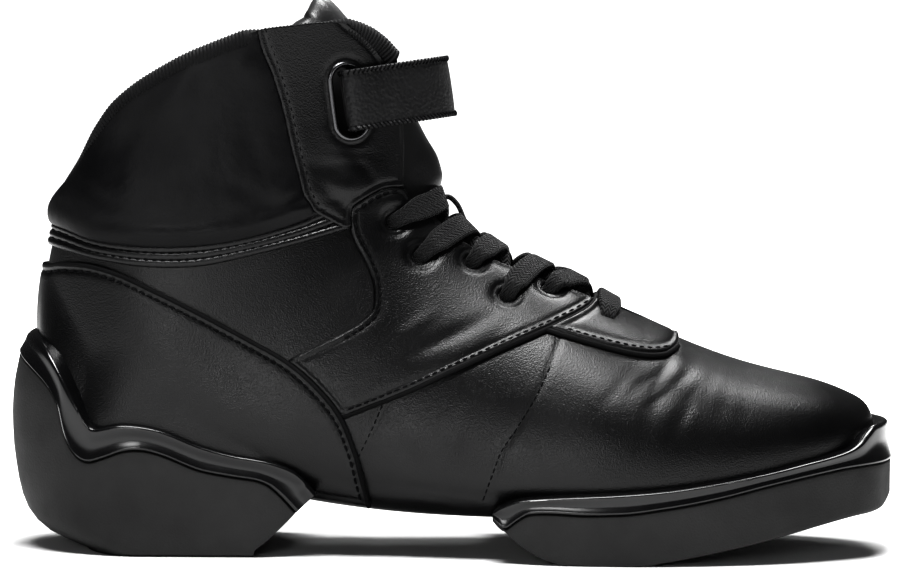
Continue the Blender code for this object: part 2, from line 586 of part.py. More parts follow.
def build_overlays(leather, padding, ribbed):
    """The panels, and by name those that holes go through."""
    counter_top = smooth_line(COUNTER_TOP)
    build_overlay("heel_counter", leather, np.vstack([counter_top, corner(COUNTER_LOW, (-0.3, 0.172), (-0.3, 0.532))]),
                  (9.0, LAST_STATION))
    band_top, band_low, flap_back = smooth_line(BAND_TOP), smooth_line(BAND_LOW), smooth_line(FLAP_BACK)
    build_overlay("collar_band", leather, np.vstack([band_low, band_top[::-1]]), (11.0, LAST_STATION))

    rim = top_line(BINDING_WIDTH)
    rim = rim[rim[:, 0] < flap_back[0, 0]]
    rim = np.vstack([(-0.08 * UPPER_LENGTH, rim[0, 1]), rim])
    behind = np.vstack([band_top, flap_back[::-1]])
    build_overlay("collar_pad", padding, np.vstack([behind, rim[::-1]]),
                  (11.0, LAST_STATION), swell=COLLAR_PAD - OVERLAY)
    build_overlay("collar_binding", ribbed, np.vstack([rim, corner((0.262, 1.150), (-0.08, 1.150))]),
                  (15.0, LAST_STATION), swell=BINDING_HEIGHT - OVERLAY)

    tab_top = smooth_line(TAB_TOP)
    flap_low = tab_top[tab_top[:, 0] < 0.426 * UPPER_LENGTH]
    flap = np.vstack([flap_back, corner(BAND_LOW[-1]), flap_low[1:], corner((0.60, 0.700), (0.60, 1.15))])
    low, high = 0.266 * COLLAR_HEIGHT, 0.369 * COLLAR_HEIGHT
    by_counter = counter_top[(counter_top[:, 1] < high) & (counter_top[:, 1] > low)]
    eyestay_low = smooth_line(EYESTAY_LOW)
    eyestay = np.vstack([by_counter, eyestay_low, corner((0.60, 0.620)), tab_top[::-1],
                         smooth_line(EYESTAY_BACK)[::-1][1:-1]])
    saddle = np.vstack([smooth_line(SADDLE_LOW), corner((0.765, 0.60), (0.662, 0.60)),
                        eyestay_low[eyestay_low[:, 0] > 0.606 * UPPER_LENGTH][::-1]])
    made = {}
    for side, word in ((-1, "lateral"), (1, "medial")):
        made["flap", side] = build_overlay("ankle_flap_" + word, leather, flap, (11.0, LAST_STATION), (0, 10), side)
        made["eyestay", side] = build_overlay("eyestay_" + word, leather, eyestay, (THROAT_START, 14.5), (0, 12), side)
    build_overlay("throat_saddle", leather, saddle, (4, 9), (0, 7), over_ridge=True)
    return made


def around_at(station, across):
    """The value of around on the front half of the section at this signed distance from its middle."""
    station, across = np.broadcast_arrays(np.asarray(station, float), np.asarray(across, float))
    widths, top = section(station.ravel())[2:5:2]
    flat = across.ravel()
    half = np.where(flat < 0, widths[:, 0], widths[:, 1])
    share = np.clip(np.abs(flat) / np.maximum(half, 1e-6), 0, 1)
    return (np.sign(flat) * np.arcsin(share ** (top / 2)) / math.pi).reshape(station.shape)


def build_tongue(finish):
    """The padded tongue: a sheet under the upper's wall whose top leans back and ends in a soft roll."""
    rows, columns = 19, 11
    across = np.linspace(-1, 1, columns)
    lean, top = graph([(r[0], r[1]) for r in TONGUE_LEAN]), graph(TONGUE_TOP)
    lift = graph([(r[0], r[2]) for r in TONGUE_LEAN])
    share = np.linspace(0, 1, rows)
    trial = np.linspace(14.0, LAST_STATION, 120)
    stations = np.empty((rows, columns))
    for j, place in enumerate(across):
        heights = surface(trial, around_at(trial, place * TONGUE_HALF_WIDTH))[:, 2]
        rise = lift(LAST_STATION) * COLLAR_HEIGHT
        last = np.interp(top(abs(place)) * COLLAR_HEIGHT + 0.0065 - rise, heights, trial)
        stations[:, j] = TONGUE_START + (last - TONGUE_START) * share
    middle = TONGUE_START + (LAST_STATION - TONGUE_START) * share[:, None]
    shift = np.zeros((rows, columns, 3))
    shift[..., 0] = -lean(middle) * UPPER_LENGTH
    shift[..., 2] = lift(middle) * COLLAR_HEIGHT
    around = around_at(stations, across * TONGUE_HALF_WIDTH)
    soft = 0.45 + 0.55 * np.sqrt(1 - np.abs(across) ** 6)[None, :] * np.ones((rows, 1))
    roll = TONGUE_ROLL * np.exp(-((share - 0.955) / 0.035) ** 2)[:, None] * np.sqrt(1 - np.abs(across) ** 4)
    end = np.where(share < 1, 1.0, 0.55)[:, None]
    thickness = TONGUE_THICKNESS * soft * end + roll
    puff = graph(TONGUE_PUFF)(stations) * TONGUE_THICKNESS * np.clip(1 - (across / 0.52) ** 2, 0, 1)
    outer = offset_surface(stations, around, puff - WALL - TONGUE_GAP) + shift
    inner = offset_surface(stations, around, puff - WALL - TONGUE_GAP - thickness) + shift
    return add_object("tongue", mesh_of("tongue", *shell(outer, inner, around)), finish)


def build_insole(finish):
    """The sock that lies on the bottom of the upper."""
    rows = np.concatenate([[1.3, 1.7], np.arange(2.2, 13.4, 1.0)])
    across = np.sin(np.linspace(-1, 1, 9) * math.pi / 2) * INSOLE_REACH
    stations = np.repeat(rows[:, None], len(across), axis=1)
    bottom = section(rows)[5][:, None]
    around = np.where(across < 0, -1, 1) * (1 - np.arcsin(np.abs(across) ** (bottom / 2)) / math.pi)
    low = offset_surface(stations, around, np.full_like(stations, -WALL - INSOLE_GAP))
    high = low + (0, 0, INSOLE_THICKNESS)
    return add_object("insole", mesh_of("insole", *shell(low, high, 2 + across + 0 * stations)), finish)


def frame_at(station, around):
    """Middle, outward normal, forward and upward directions at one place of the outer form."""
    out = normal(station, around)
    forward = np.array([1.0, 0.0, 0.0]) - out * out[0]
    forward /= np.linalg.norm(forward)
    up = np.cross(out, forward) if around < 0 else np.cross(forward, out)
    return surface(station, around), out, forward, up


def build_eyelet_cutter(side):
    """A hidden cutter: the six lace holes of one side."""
    points, faces, count = [], [], 12
    for x, z in EYELETS:
        place = find_on_side(x, z, side)
        middle, out, forward, up = frame_at(*place)
        base = len(points)
        for level in (-0.005, 0.004):
            for k in range(count):
                turn = 2 * math.pi * k / count
                spoke = EYELET_RADIUS * (math.cos(turn) * forward + math.sin(turn) * up)
                points.append(middle + out * level + spoke)
        faces += [tuple(range(base, base + count)), tuple(range(base + 2 * count - 1, base + count - 1, -1))]
        for k in range(count):
            a, b = base + k, base + (k + 1) % count
            faces.append((a, b, b + count, a + count))
    name = "eyelet_holes_" + ("lateral" if side < 0 else "medial")
    return add_object(name, mesh_of(name, points, faces), cutter=True)


def oval(length, width, arc=8):
    """An oval with straight sides and round ends in the plane of (forward, up), longer upwards, leaning back."""
    turn = np.linspace(0, math.pi, arc)
    wide, tall = np.cos(turn) * width / 2, np.sin(turn) * width / 2 + (length - width) / 2
    wide, tall = np.concatenate([wide, -wide]), np.concatenate([tall, -tall])
    cosine, sine = math.cos(SLOT_LEAN), math.sin(SLOT_LEAN)
    return np.stack([wide * cosine - tall * sine, wide * sine + tall * cosine], 1)


def oval_loop(place, length, width, distance):
    """An oval laid on the form around a place, at a distance from the form."""
    middle, out, forward, up = frame_at(*place)
    flat = middle + oval(length, width) @ np.stack([forward, up])
    loop = []
    for point in flat:
        x, z = point[0] / UPPER_LENGTH, point[2] / COLLAR_HEIGHT
        station, around = find_on_side(x, z, -1)
        loop.append(offset_surface(station, around, np.array(distance)))
    return np.array(loop)


def build_slot(metal):
    """The oval metal ring of the strap slot, and the hidden cutter of the slot itself."""
    place = find_on_side(*SLOT_CENTRE, -1)
    middle, out, forward, up = frame_at(*place)
    flat = oval(SLOT_LENGTH, SLOT_WIDTH) @ np.stack([forward, up])
    count = len(flat)
    points = np.concatenate([middle + flat - 0.008 * out, middle + flat + 0.008 * out])
    faces = [tuple(range(count)), tuple(range(2 * count - 1, count - 1, -1))]
    faces += [(k, (k + 1) % count, (k + 1) % count + count, k + count) for k in range(count)]
    cutter = add_object("slot_hole", mesh_of("slot_hole", points, faces), cutter=True)

    seat = SEAT_GAP * 2 + OVERLAY
    clear = 0.0005
    profile = [
        # growth over the slot's own size, distance from the form
        (-2 * (clear + RING_WALL), -WALL - 0.0002), (-2 * clear, -WALL - 0.0002), (-2 * clear, seat),
        (2 * RING_FLANGE, seat), (2 * RING_FLANGE, seat + RING_PROUD * 0.5), (RING_FLANGE, seat + RING_PROUD),
        (-clear, seat + RING_PROUD), (-2 * (clear + RING_WALL), seat + RING_PROUD * 0.3),
    ]
    loops = [oval_loop(place, SLOT_LENGTH + grow, SLOT_WIDTH + grow, level) for grow, level in profile]
    points = np.concatenate(loops)
    faces = []
    for m in range(len(loops)):
        n = (m + 1) % len(loops)
        for k in range(count):
            q = (k + 1) % count
            faces.append((m * count + k, m * count + q, n * count + q, n * count + k))
    ring = add_object("strap_ring", mesh_of("strap_ring", points, faces), metal)
    return ring, cutter


def smooth_rows(rows, per_span):
    """Catmull-Rom through the rows of a table, of any number of columns."""
    p = np.array(rows, float)
    p = np.vstack([2 * p[0] - p[1], p, 2 * p[-1] - p[-2]])
    line = []
    for i in range(1, len(p) - 2):
        for k in range(per_span):
            t = k / per_span
            line.append(0.5 * (2 * p[i] + (p[i + 1] - p[i - 1]) * t
                               + (2 * p[i - 1] - 5 * p[i] + 4 * p[i + 1] - p[i + 2]) * t ** 2
                               + (3 * p[i] - p[i - 1] - 3 * p[i + 1] + p[i + 2]) * t ** 3))
    return np.array(line + [p[-2]])


def strap_plane():
    """A point of the strap's middle plane and its unit normal, along which the strap is wide."""
    x, z = SLOT_CENTRE[0] * UPPER_LENGTH, SLOT_CENTRE[1] * COLLAR_HEIGHT
    return np.array([x, 0.0, z]), np.array([-math.sin(STRAP_TILT), 0.0, math.cos(STRAP_TILT)])


def strap_path():
    """The strap's middle line in 3-D, in the strap's tilted plane."""
    origin, wide = strap_plane()
    slot_around = find_on_side(*SLOT_CENTRE, -1)[1]
    rows = [(slot_around + a if from_slot else a, d * STRAP_THICKNESS) for a, from_slot, d in STRAP_RUN]
    line = []
    for around, distance in rows:
        low, high = 11.0, LAST_STATION + 0.8
        for _ in range(30):
            middle = (low + high) / 2
            point = offset_surface(middle, around, np.array(distance))
            low, high = (low, middle) if np.dot(point - origin, wide) > 0 else (middle, high)
        line.append(point)
    return smooth_rows(line, 2)


def build_strap(finish):
    """The strap: one flat ribbon swept along its path."""
    path = strap_path()
    wide = strap_plane()[1]
    way = np.gradient(path, axis=0)
    way -= np.outer(way @ wide, wide)
    way /= np.linalg.norm(way, axis=1, keepdims=True)
    across = np.cross(way, wide)
    count = len(path)
    loops = []
    for w, t in ((-1, -1), (1, -1), (1, 1), (-1, 1)):
        loops.append(path + wide * w * STRAP_WIDTH / 2 + across * t * STRAP_THICKNESS / 2)
    points = np.concatenate(loops)
    faces = [(0, count, 2 * count, 3 * count), (count - 1, 4 * count - 1, 3 * count - 1, 2 * count - 1)]
    for m in range(4):
        n = (m + 1) % 4
        for k in range(count - 1):
            a, b = m * count + k, m * count + k + 1
            faces.append((a, b, n * count + k + 1, n * count + k))
    return add_object("strap", mesh_of("strap", points, faces), finish)


def lace_strand(name, stations, across, rise, finish=None):
    """One flat lace strand laid over the form through these stations and places across."""
    around = around_at(stations, across)
    path = offset_surface(stations, around, rise)
    out = normal(stations, around)
    way = np.gradient(path, axis=0)
    way /= np.linalg.norm(way, axis=1, keepdims=True)
    side = np.cross(way, out)
    side /= np.linalg.norm(side, axis=1, keepdims=True)
    out = np.cross(side, way)
    section_shape = [(-1, 0), (-0.6, 1), (0.6, 1), (1, 0), (0.6, -1), (-0.6, -1)]
    loops = [path + side * u * LACE_WIDTH / 2 + out * v * LACE_THICKNESS / 2 for u, v in section_shape]
    count, sides = len(path), len(loops)
    points = np.stack(loops, 1).reshape(-1, 3)
    faces = [tuple(range(sides)), tuple(range(count * sides - 1, (count - 1) * sides - 1, -1))]
    for k in range(count - 1):
        for m in range(sides):
            n = (m + 1) % sides
            faces.append((k * sides + m, k * sides + n, (k + 1) * sides + n, (k + 1) * sides + m))
    mesh = mesh_of(name, points, faces)
    return add_object(name, mesh, finish, cutter=finish is None)


def build_laces(finish):
    """The straight bar at the toe end and the five crossings, each a solid of its own."""
    places = [find_on_side(x, z, 1) for x, z in EYELETS]
    lateral = [find_on_side(x, z, -1) for x, z in EYELETS]
    holes = []
    for (sm, am), (sl, al) in zip(places, lateral):
        centre = section(np.array([sm, sl]))[2][:, 2]
        holes.append(((sm, surface(sm, am)[1] - centre[0]), (sl, surface(sl, al)[1] - centre[1])))
    (sm, ym), (sl, yl) = holes[-1]
    share = np.linspace(0, 1, LACE_ROWS)
    lace_strand("lace_bar", sm + (sl - sm) * share, ym + (yl - ym) * share, np.full(LACE_ROWS, LACE_RISE[-1][1]), finish)
    rise = graph(LACE_RISE)
    for k in range(len(holes) - 1, 0, -1):
        name = "lace_%d" % (len(holes) - k)
        strands = []
        for start, end in ((holes[k][0], holes[k - 1][1]), (holes[k][1], holes[k - 1][0])):
            opening = float(THROAT_OPENING(start[0])) * BALL_WIDTH - 0.0042
            first = (abs(start[1]) - opening) / (abs(start[1]) + abs(end[1]))
            t = np.linspace(first, 1.03, LACE_ROWS)
            stations = start[0] + (end[0] - start[0]) * t
            across = start[1] + (end[1] - start[1]) * t
            strands.append((stations, across, rise(np.linspace(0, 1, LACE_ROWS))))
        made = lace_strand(name, *strands[0], finish)
        boolean(made, lace_strand(name + "_other", *strands[1]), "UNION")


def ring_solid(name, rings, finish):
    """A solid from stacked outlines. Each runs from the front lateral end round the closed end to the front medial
    end, and its two halves pair up across the shoe."""
    levels, count = rings.shape[:2]
    index = np.arange(levels * count).reshape(levels, count)
    faces = []
    for level, way in ((0, 1), (levels - 1, -1)):
        for k in range(count // 2):
            if k == count - 2 - k:
                continue
            face = [index[level, k], index[level, k + 1], index[level, count - 2 - k], index[level, count - 1 - k]]
            face = list(dict.fromkeys(face))
            faces.append(tuple(face[::way]))
    for i in range(levels - 1):
        for k in range(count):
            q = (k + 1) % count
            faces.append((index[i, k], index[i + 1, k], index[i + 1, q], index[i, q]))
    mesh = mesh_of(name, rings.reshape(-1, 3), [tuple(int(v) for v in f) for f in faces])
    return add_object(name, mesh, finish)


def heel_rings():
    """Outlines of the heel unit, level by level."""
    turn = np.linspace(0, math.pi, 21)
    rings = []
    for height, back, side in HEEL_LEVELS:
        width = 2 * HEEL_HALF_WIDTH
        x_back, half = -HEEL_BACK + back * width, HEEL_HALF_WIDTH - side * width
        reach = HEEL_WIDEST_AT - x_back if HEEL_WIDEST_AT - x_back > 0.02 else 0.02
        x = HEEL_WIDEST_AT - reach * np.sin(turn) ** (2 / 2.25)
        y = -half * np.sign(np.cos(turn)) * np.abs(np.cos(turn)) ** (2 / 2.25)
        ends = HEEL_FRONT_HALF_WIDTH - side * width
        mid_x, mid_y = (HEEL_WIDEST_AT + HEEL_FRONT_AT) / 2, (half + ends) / 2
        x = np.concatenate([[HEEL_FRONT_AT, mid_x], x, [mid_x, HEEL_FRONT_AT]])
        y = np.concatenate([[-ends, -mid_y], y, [mid_y, ends]])
        rings.append(np.stack([x, y, np.full(len(x), height * COLLAR_HEIGHT)], 1))
    return np.array(rings)


def forefoot_rings():
    """Outlines of the forefoot unit: the upper's own plan outline with a margin, over a floor with toe spring."""
    rows = np.concatenate([np.arange(FOREFOOT_BACK_STATION, 1.0, -0.65), [1.0, 0.6, 0.3, 0.1]])
    lateral = surface(rows, -0.5 * np.ones_like(rows))
    medial = surface(rows, 0.5 * np.ones_like(rows))
    line = np.concatenate([lateral, surface(0.0, 0.0)[None, :], medial[::-1]])[:, :2]
    way = np.gradient(line, axis=0)
    way /= np.linalg.norm(way, axis=1, keepdims=True)
    out = np.stack([way[:, 1], -way[:, 0]], 1)
    floor = graph(FOREFOOT_FLOOR)
    rings = []
    for inset, rise in FOREFOOT_EDGE:
        flat = line + out * SOLE_MARGIN * (1 - inset)
        height = floor(flat[:, 0] / UPPER_LENGTH) * COLLAR_HEIGHT + rise * SOLE_MARGIN
        rings.append(np.column_stack([flat, height]))
    top = rings[-1].copy()
    top[:, 2] = SOLE_TOP * COLLAR_HEIGHT
    return np.array(rings + [top])


def build_sole_units(rubber, gloss):
    """Heel and forefoot units, each a matte block and a glossy band above it, hollowed by the upper's form."""
    over_counter = build_closed_form("heel_hollow", 2 * SEAT_GAP + OVERLAY, 9.0, LAST_STATION)
    over_upper = build_closed_form("forefoot_hollow", SEAT_GAP, 0, 11.0)
    shift = np.array([0, GROOVE / 2])
    groove, rand_top, front = smooth_line(HEEL_GROOVE), smooth_line(HEEL_RAND_TOP), corner(HEEL_FRONT)
    heel_low = np.vstack([groove - shift, front[front[:, 1] < groove[-1, 1]][::-1], corner((0.262, -0.1), (-0.1, -0.1))])
    heel_high = np.vstack([groove + shift, rand_top[::-1]])
    groove, rand_top = smooth_line(FOREFOOT_GROOVE), smooth_line(FOREFOOT_RAND_TOP)
    fore_low = np.vstack([groove - shift, corner((1.06, 0.2), (1.06, -0.1), (0.54, -0.1))])
    fore_high = np.vstack([groove + shift, rand_top[::-1]])
    units = [
        ("heel_outsole", heel_rings(), heel_low, over_counter, rubber),
        ("heel_rand", heel_rings(), heel_high, over_counter, gloss),
        ("forefoot_outsole", forefoot_rings(), fore_low, over_upper, rubber),
        ("forefoot_rand", forefoot_rings(), fore_high, over_upper, gloss),
    ]
    for name, rings, outline, hollow, finish in units:
        made = ring_solid(name, rings, finish)
        boolean(made, side_prism(name + "_profile", outline), "INTERSECT")
        boolean(made, hollow, "DIFFERENCE")


def centre_on_box():
    """Puts the middle of the finished shoe's box over the origin, with the floor at zero."""
    graph_ = bpy.context.evaluated_depsgraph_get()
    corners = []
    for made in bpy.data.objects:
        if made.type == "MESH" and not made.hide_render:
            corners += [made.matrix_world @ Vector(c) for c in made.evaluated_get(graph_).bound_box]
    low = [min(c[k] for c in corners) for k in range(3)]
    high = [max(c[k] for c in corners) for k in range(3)]
    shift = Matrix.Translation((-(low[0] + high[0]) / 2, -(low[1] + high[1]) / 2, -low[2]))
    for made in bpy.data.objects:
        made.data.transform(shift)


def clear_scene():
    for old in list(bpy.data.objects):
        bpy.data.objects.remove(old)


def main():
    clear_scene()
    leather = material("black_leather", (0.018, 0.018, 0.019), 0.45)
    padding = material("black_smooth_padding", (0.020, 0.020, 0.021), 0.55)
    ribbed = material("black_ribbed_tape", (0.014, 0.014, 0.015), 0.7)
    webbing = material("black_webbing", (0.015, 0.015, 0.016), 0.8)
    metal = material("dark_nickel", (0.25, 0.25, 0.26), 0.25, 1.0)
    rubber = material("black_matte_rubber", (0.012, 0.012, 0.012), 0.75)
    gloss = material("black_gloss_rubber", (0.015, 0.015, 0.016), 0.25)
    foam = material("grey_sock_lining", (0.05, 0.05, 0.052), 0.85)

    upper = build_upper(leather)
    panels = build_overlays(leather, padding, ribbed)
    ring, slot = build_slot(metal)
    for side in (-1, 1):
        holes = build_eyelet_cutter(side)
        boolean(upper, holes, "DIFFERENCE")
        boolean(panels["eyestay", side], holes, "DIFFERENCE")
    boolean(upper, slot, "DIFFERENCE")
    boolean(panels["flap", -1], slot, "DIFFERENCE")
    build_tongue(padding)
    build_insole(foam)
    build_strap(webbing)
    build_laces(webbing)
    build_sole_units(rubber, gloss)
    centre_on_box()


main()
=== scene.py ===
"""Looks of the split-sole high-top dance sneaker: the same last function as the CAD, at a finer pitch, with
panels, seams, creases, stitches, woven laces and moulded sole units."""
import math

import bmesh
import bpy
import numpy as np
from mathutils import Matrix, Vector
from mathutils.bvhtree import BVHTree


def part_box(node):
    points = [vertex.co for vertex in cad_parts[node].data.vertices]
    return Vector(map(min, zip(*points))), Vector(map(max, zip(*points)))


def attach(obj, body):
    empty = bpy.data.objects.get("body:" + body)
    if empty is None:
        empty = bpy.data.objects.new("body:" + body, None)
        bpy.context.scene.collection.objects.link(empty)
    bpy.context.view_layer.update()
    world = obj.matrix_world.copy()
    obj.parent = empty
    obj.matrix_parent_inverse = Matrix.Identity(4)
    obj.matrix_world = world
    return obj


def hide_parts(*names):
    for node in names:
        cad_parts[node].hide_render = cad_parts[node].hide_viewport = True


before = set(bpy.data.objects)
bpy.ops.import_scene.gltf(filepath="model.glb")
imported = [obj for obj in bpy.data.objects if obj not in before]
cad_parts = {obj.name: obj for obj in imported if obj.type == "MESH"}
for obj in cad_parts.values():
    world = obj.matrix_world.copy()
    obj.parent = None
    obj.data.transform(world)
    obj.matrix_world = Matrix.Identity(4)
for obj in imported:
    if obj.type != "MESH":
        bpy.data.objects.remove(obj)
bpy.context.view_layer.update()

# The last, in metres and shares, as in the CAD
UPPER_LENGTH = 0.272
COLLAR_HEIGHT = 0.170
BALL_WIDTH = 0.094
COLLAR_BOW = 0.0247
WALL = 0.0022
SECTIONS = [
    # station, front_x, front_z, back_x, back_z, lateral, medial, centre, widest, top, bottom
    (0.0, 1.001, 0.241, 1.001, 0.241, 0.000, 0.000, 0.053, 0.50, 2.00, 2.00),
    (1.0, 0.993, 0.279, 0.993, 0.200, 0.150, 0.160, 0.053, 0.52, 2.00, 2.10),
    (2.0, 0.973, 0.301, 0.972, 0.166, 0.277, 0.277, 0.049, 0.58, 2.10, 2.35),
    (3.0, 0.937, 0.323, 0.937, 0.145, 0.372, 0.365, 0.043, 0.63, 2.20, 2.70),
    (4.0, 0.887, 0.343, 0.887, 0.127, 0.447, 0.425, 0.034, 0.67, 2.20, 3.00),
    (5.0, 0.829, 0.368, 0.829, 0.107, 0.495, 0.463, 0.024, 0.70, 2.15, 3.20),
    (6.0, 0.765, 0.406, 0.763, 0.088, 0.521, 0.476, 0.014, 0.72, 2.08, 3.30),
    (7.0, 0.709, 0.446, 0.689, 0.075, 0.526, 0.463, 0.003, 0.735, 1.98, 3.30),
    (8.0, 0.660, 0.488, 0.612, 0.068, 0.507, 0.427, -0.005, 0.735, 1.88, 3.20),
    (9.0, 0.607, 0.531, 0.522, 0.067, 0.468, 0.388, -0.010, 0.73, 1.82, 3.00),
    (10.0, 0.553, 0.572, 0.422, 0.074, 0.431, 0.367, -0.010, 0.72, 1.80, 2.80),
    (11.0, 0.513, 0.617, 0.310, 0.096, 0.399, 0.362, -0.008, 0.71, 1.82, 2.60),
    (12.0, 0.487, 0.664, 0.185, 0.129, 0.378, 0.362, -0.004, 0.70, 1.86, 2.50),
    (13.0, 0.478, 0.713, 0.077, 0.150, 0.367, 0.362, 0.000, 0.67, 1.92, 2.40),
    (14.0, 0.471, 0.755, 0.026, 0.222, 0.362, 0.362, 0.000, 0.63, 1.97, 2.30),
    (15.0, 0.465, 0.800, 0.009, 0.336, 0.356, 0.356, 0.000, 0.59, 2.02, 2.25),
    (16.0, 0.460, 0.850, 0.005, 0.445, 0.351, 0.351, 0.000, 0.56, 2.07, 2.20),
    (17.0, 0.455, 0.900, 0.013, 0.548, 0.352, 0.352, 0.000, 0.53, 2.12, 2.20),
    (18.0, 0.449, 0.949, 0.030, 0.671, 0.362, 0.362, 0.000, 0.50, 2.15, 2.20),
]
LAST_STATION = 18.0
BOW_START = 11.0
BOW_POWER = 1.5
TOP_LINE = [
    (0.00, 0.00), (0.05, 0.02), (0.075, 0.28), (0.10, 0.47), (0.16, 0.70), (0.26, 0.86), (0.38, 0.99),
    (0.52, 1.00), (0.66, 0.93), (0.76, 0.80), (0.83, 0.60), (0.91, 0.28), (1.00, 0.00),
]
THROAT_START = 6.7
THROAT = [
    (6.7, 0.000), (6.85, 0.040), (7.1, 0.064), (7.5, 0.084), (8.0, 0.096), (9.0, 0.107), (10.0, 0.113),
    (11.0, 0.119), (12.0, 0.127), (12.6, 0.150), (13.0, 0.168), (13.5, 0.173), (14.0, 0.168), (15.0, 0.162),
    (16.0, 0.162), (17.0, 0.170), (18.0, 0.180),
]

# Seams in the side view, x as a share of UPPER_LENGTH and z as a share of COLLAR_HEIGHT
COUNTER_TOP = [
    (-0.080, 0.532), (0.013, 0.537), (0.034, 0.543), (0.069, 0.543), (0.104, 0.529), (0.139, 0.505),
    (0.197, 0.460), (0.256, 0.410), (0.303, 0.368), (0.338, 0.322), (0.367, 0.267), (0.385, 0.202),
    (0.395, 0.147), (0.402, 0.100),
]
BAND_TOP = [
    (-0.080, 0.630), (0.027, 0.613), (0.080, 0.588), (0.139, 0.578), (0.197, 0.581), (0.255, 0.596),
    (0.313, 0.625), (0.334, 0.640), (0.366, 0.662),
]
BAND_LOW = [
    (-0.080, 0.588), (0.019, 0.576), (0.081, 0.555), (0.139, 0.543), (0.197, 0.545), (0.255, 0.565),
    (0.313, 0.588), (0.367, 0.612), (0.386, 0.620),
]
FLAP_BACK = [
    (0.257, 1.150), (0.264, 0.982), (0.282, 0.898), (0.294, 0.833), (0.303, 0.768), (0.312, 0.713),
    (0.318, 0.676), (0.330, 0.644),
]
FLAP_TOP = [
    (0.262, 1.150), (0.330, 1.060), (0.3624, 1.004), (0.3858, 0.9745), (0.4083, 0.932), (0.424, 0.885),
    (0.60, 0.83),
]
TAB_TOP = [
    (0.374, 0.612), (0.374, 0.650), (0.387, 0.668), (0.407, 0.686), (0.425, 0.690), (0.438, 0.681),
    (0.447, 0.665), (0.456, 0.655),
]
EYESTAY_BACK = [
    (0.303, 0.368), (0.366, 0.417), (0.390, 0.441), (0.402, 0.464), (0.402, 0.510), (0.392, 0.553),
    (0.379, 0.590), (0.374, 0.612),
]
EYESTAY_LOW = [
    (0.367, 0.267), (0.443, 0.316), (0.489, 0.350), (0.547, 0.392), (0.604, 0.430), (0.645, 0.459),
    (0.660, 0.476), (0.664, 0.498), (0.662, 0.600),
]
SADDLE_LOW = [(0.604, 0.430), (0.664, 0.402), (0.711, 0.385), (0.742, 0.383), (0.760, 0.396), (0.774, 0.440)]
BAND_SHOWN = 0.374
EYELETS = [(0.424, 0.625), (0.456, 0.561), (0.517, 0.549), (0.558, 0.488), (0.609, 0.499), (0.675, 0.442)]
EYELET_RADIUS = 0.0025
SLOT_CENTRE = (0.368, 0.852)
SLOT_LEAN = math.radians(8.5)
SLOT_LENGTH = 0.0236
SLOT_WIDTH = 0.0102


def spline(table):
    """A natural cubic spline through the rows of a table, whose first column is the parameter."""
    data = np.array(table, float)
    knots, values = data[:, 0], data[:, 1:]
    step = np.diff(knots)
    size = len(knots)
    system = np.eye(size)
    target = np.zeros_like(values)
    for i in range(1, size - 1):
        system[i, i - 1:i + 2] = step[i - 1], 2 * (step[i - 1] + step[i]), step[i]
        target[i] = 6 * ((values[i + 1] - values[i]) / step[i] - (values[i] - values[i - 1]) / step[i - 1])
    bend = np.linalg.solve(system, target)

    def evaluate(at):
        at = np.atleast_1d(np.asarray(at, float))
        k = np.clip(np.searchsorted(knots, at) - 1, 0, size - 2)
        h = step[k][:, None]
        left = (knots[k + 1] - at)[:, None] / h
        right = (at - knots[k])[:, None] / h
        curve = (left ** 3 - left) * bend[k] + (right ** 3 - right) * bend[k + 1]
        return left * values[k] + right * values[k + 1] + curve * h ** 2 / 6

    return evaluate


def graph(table):
    """A shape-preserving cubic through (x, y) rows: it never overshoots a row."""
    x, y = np.array(table, float).T
    h, slope = np.diff(x), np.diff(y) / np.diff(x)
    tangent = np.zeros(len(x))
    same = slope[1:] * slope[:-1] > 0
    w1, w2 = 2 * h[1:] + h[:-1], h[1:] + 2 * h[:-1]
    with np.errstate(divide="ignore", invalid="ignore"):
        mean = (w1 + w2) / (w1 / slope[:-1] + w2 / slope[1:])
    tangent[1:-1] = np.where(same, mean, 0.0)
    tangent[0], tangent[-1] = slope[0], slope[-1]

    def evaluate(at):
        at = np.asarray(at, float)
        inside = np.clip(at, x[0], x[-1])
        k = np.clip(np.searchsorted(x, inside) - 1, 0, len(x) - 2)
        t = (inside - x[k]) / h[k]
        rise = (2 * t ** 3 - 3 * t ** 2 + 1) * y[k] + (3 * t ** 2 - 2 * t ** 3) * y[k + 1]
        return rise + h[k] * ((t ** 3 - 2 * t ** 2 + t) * tangent[k] + (t ** 3 - t ** 2) * tangent[k + 1])

    return evaluate


def mirrored_toe(rows):
    """The table with the toe's first rows mirrored through the nose, so that the toe closes round."""
    nose = np.array(rows[0], float)
    ghosts = []
    for row in rows[2:0:-1]:
        ghost = np.array(row, float)
        ghost[0] = -ghost[0]
        ghost[[2, 4]] = 2 * nose[[2, 4]] - ghost[[2, 4]]
        ghost[[5, 6]] = -ghost[[5, 6]]
        ghosts.append(tuple(ghost))
    return ghosts + list(rows)


SECTION_SPLINE = spline(mirrored_toe(SECTIONS))
TOP_LINE_RISE = graph(TOP_LINE)
THROAT_OPENING = graph(THROAT)
SHIFT = np.array([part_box("upper")[1][0] - 1.001 * UPPER_LENGTH,
                  (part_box("heel_outsole")[0][1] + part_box("heel_outsole")[1][1]) / 2, 0.0])


def section(station):
    """Front and back points, sides with centre, widest share, and top and bottom powers of a section."""
    row = SECTION_SPLINE(station)
    front = row[:, [0, 1]] * (UPPER_LENGTH, COLLAR_HEIGHT)
    back = row[:, [2, 3]] * (UPPER_LENGTH, COLLAR_HEIGHT)
    return front, back, row[:, 4:7] * BALL_WIDTH, row[:, 7], row[:, 8], row[:, 9]


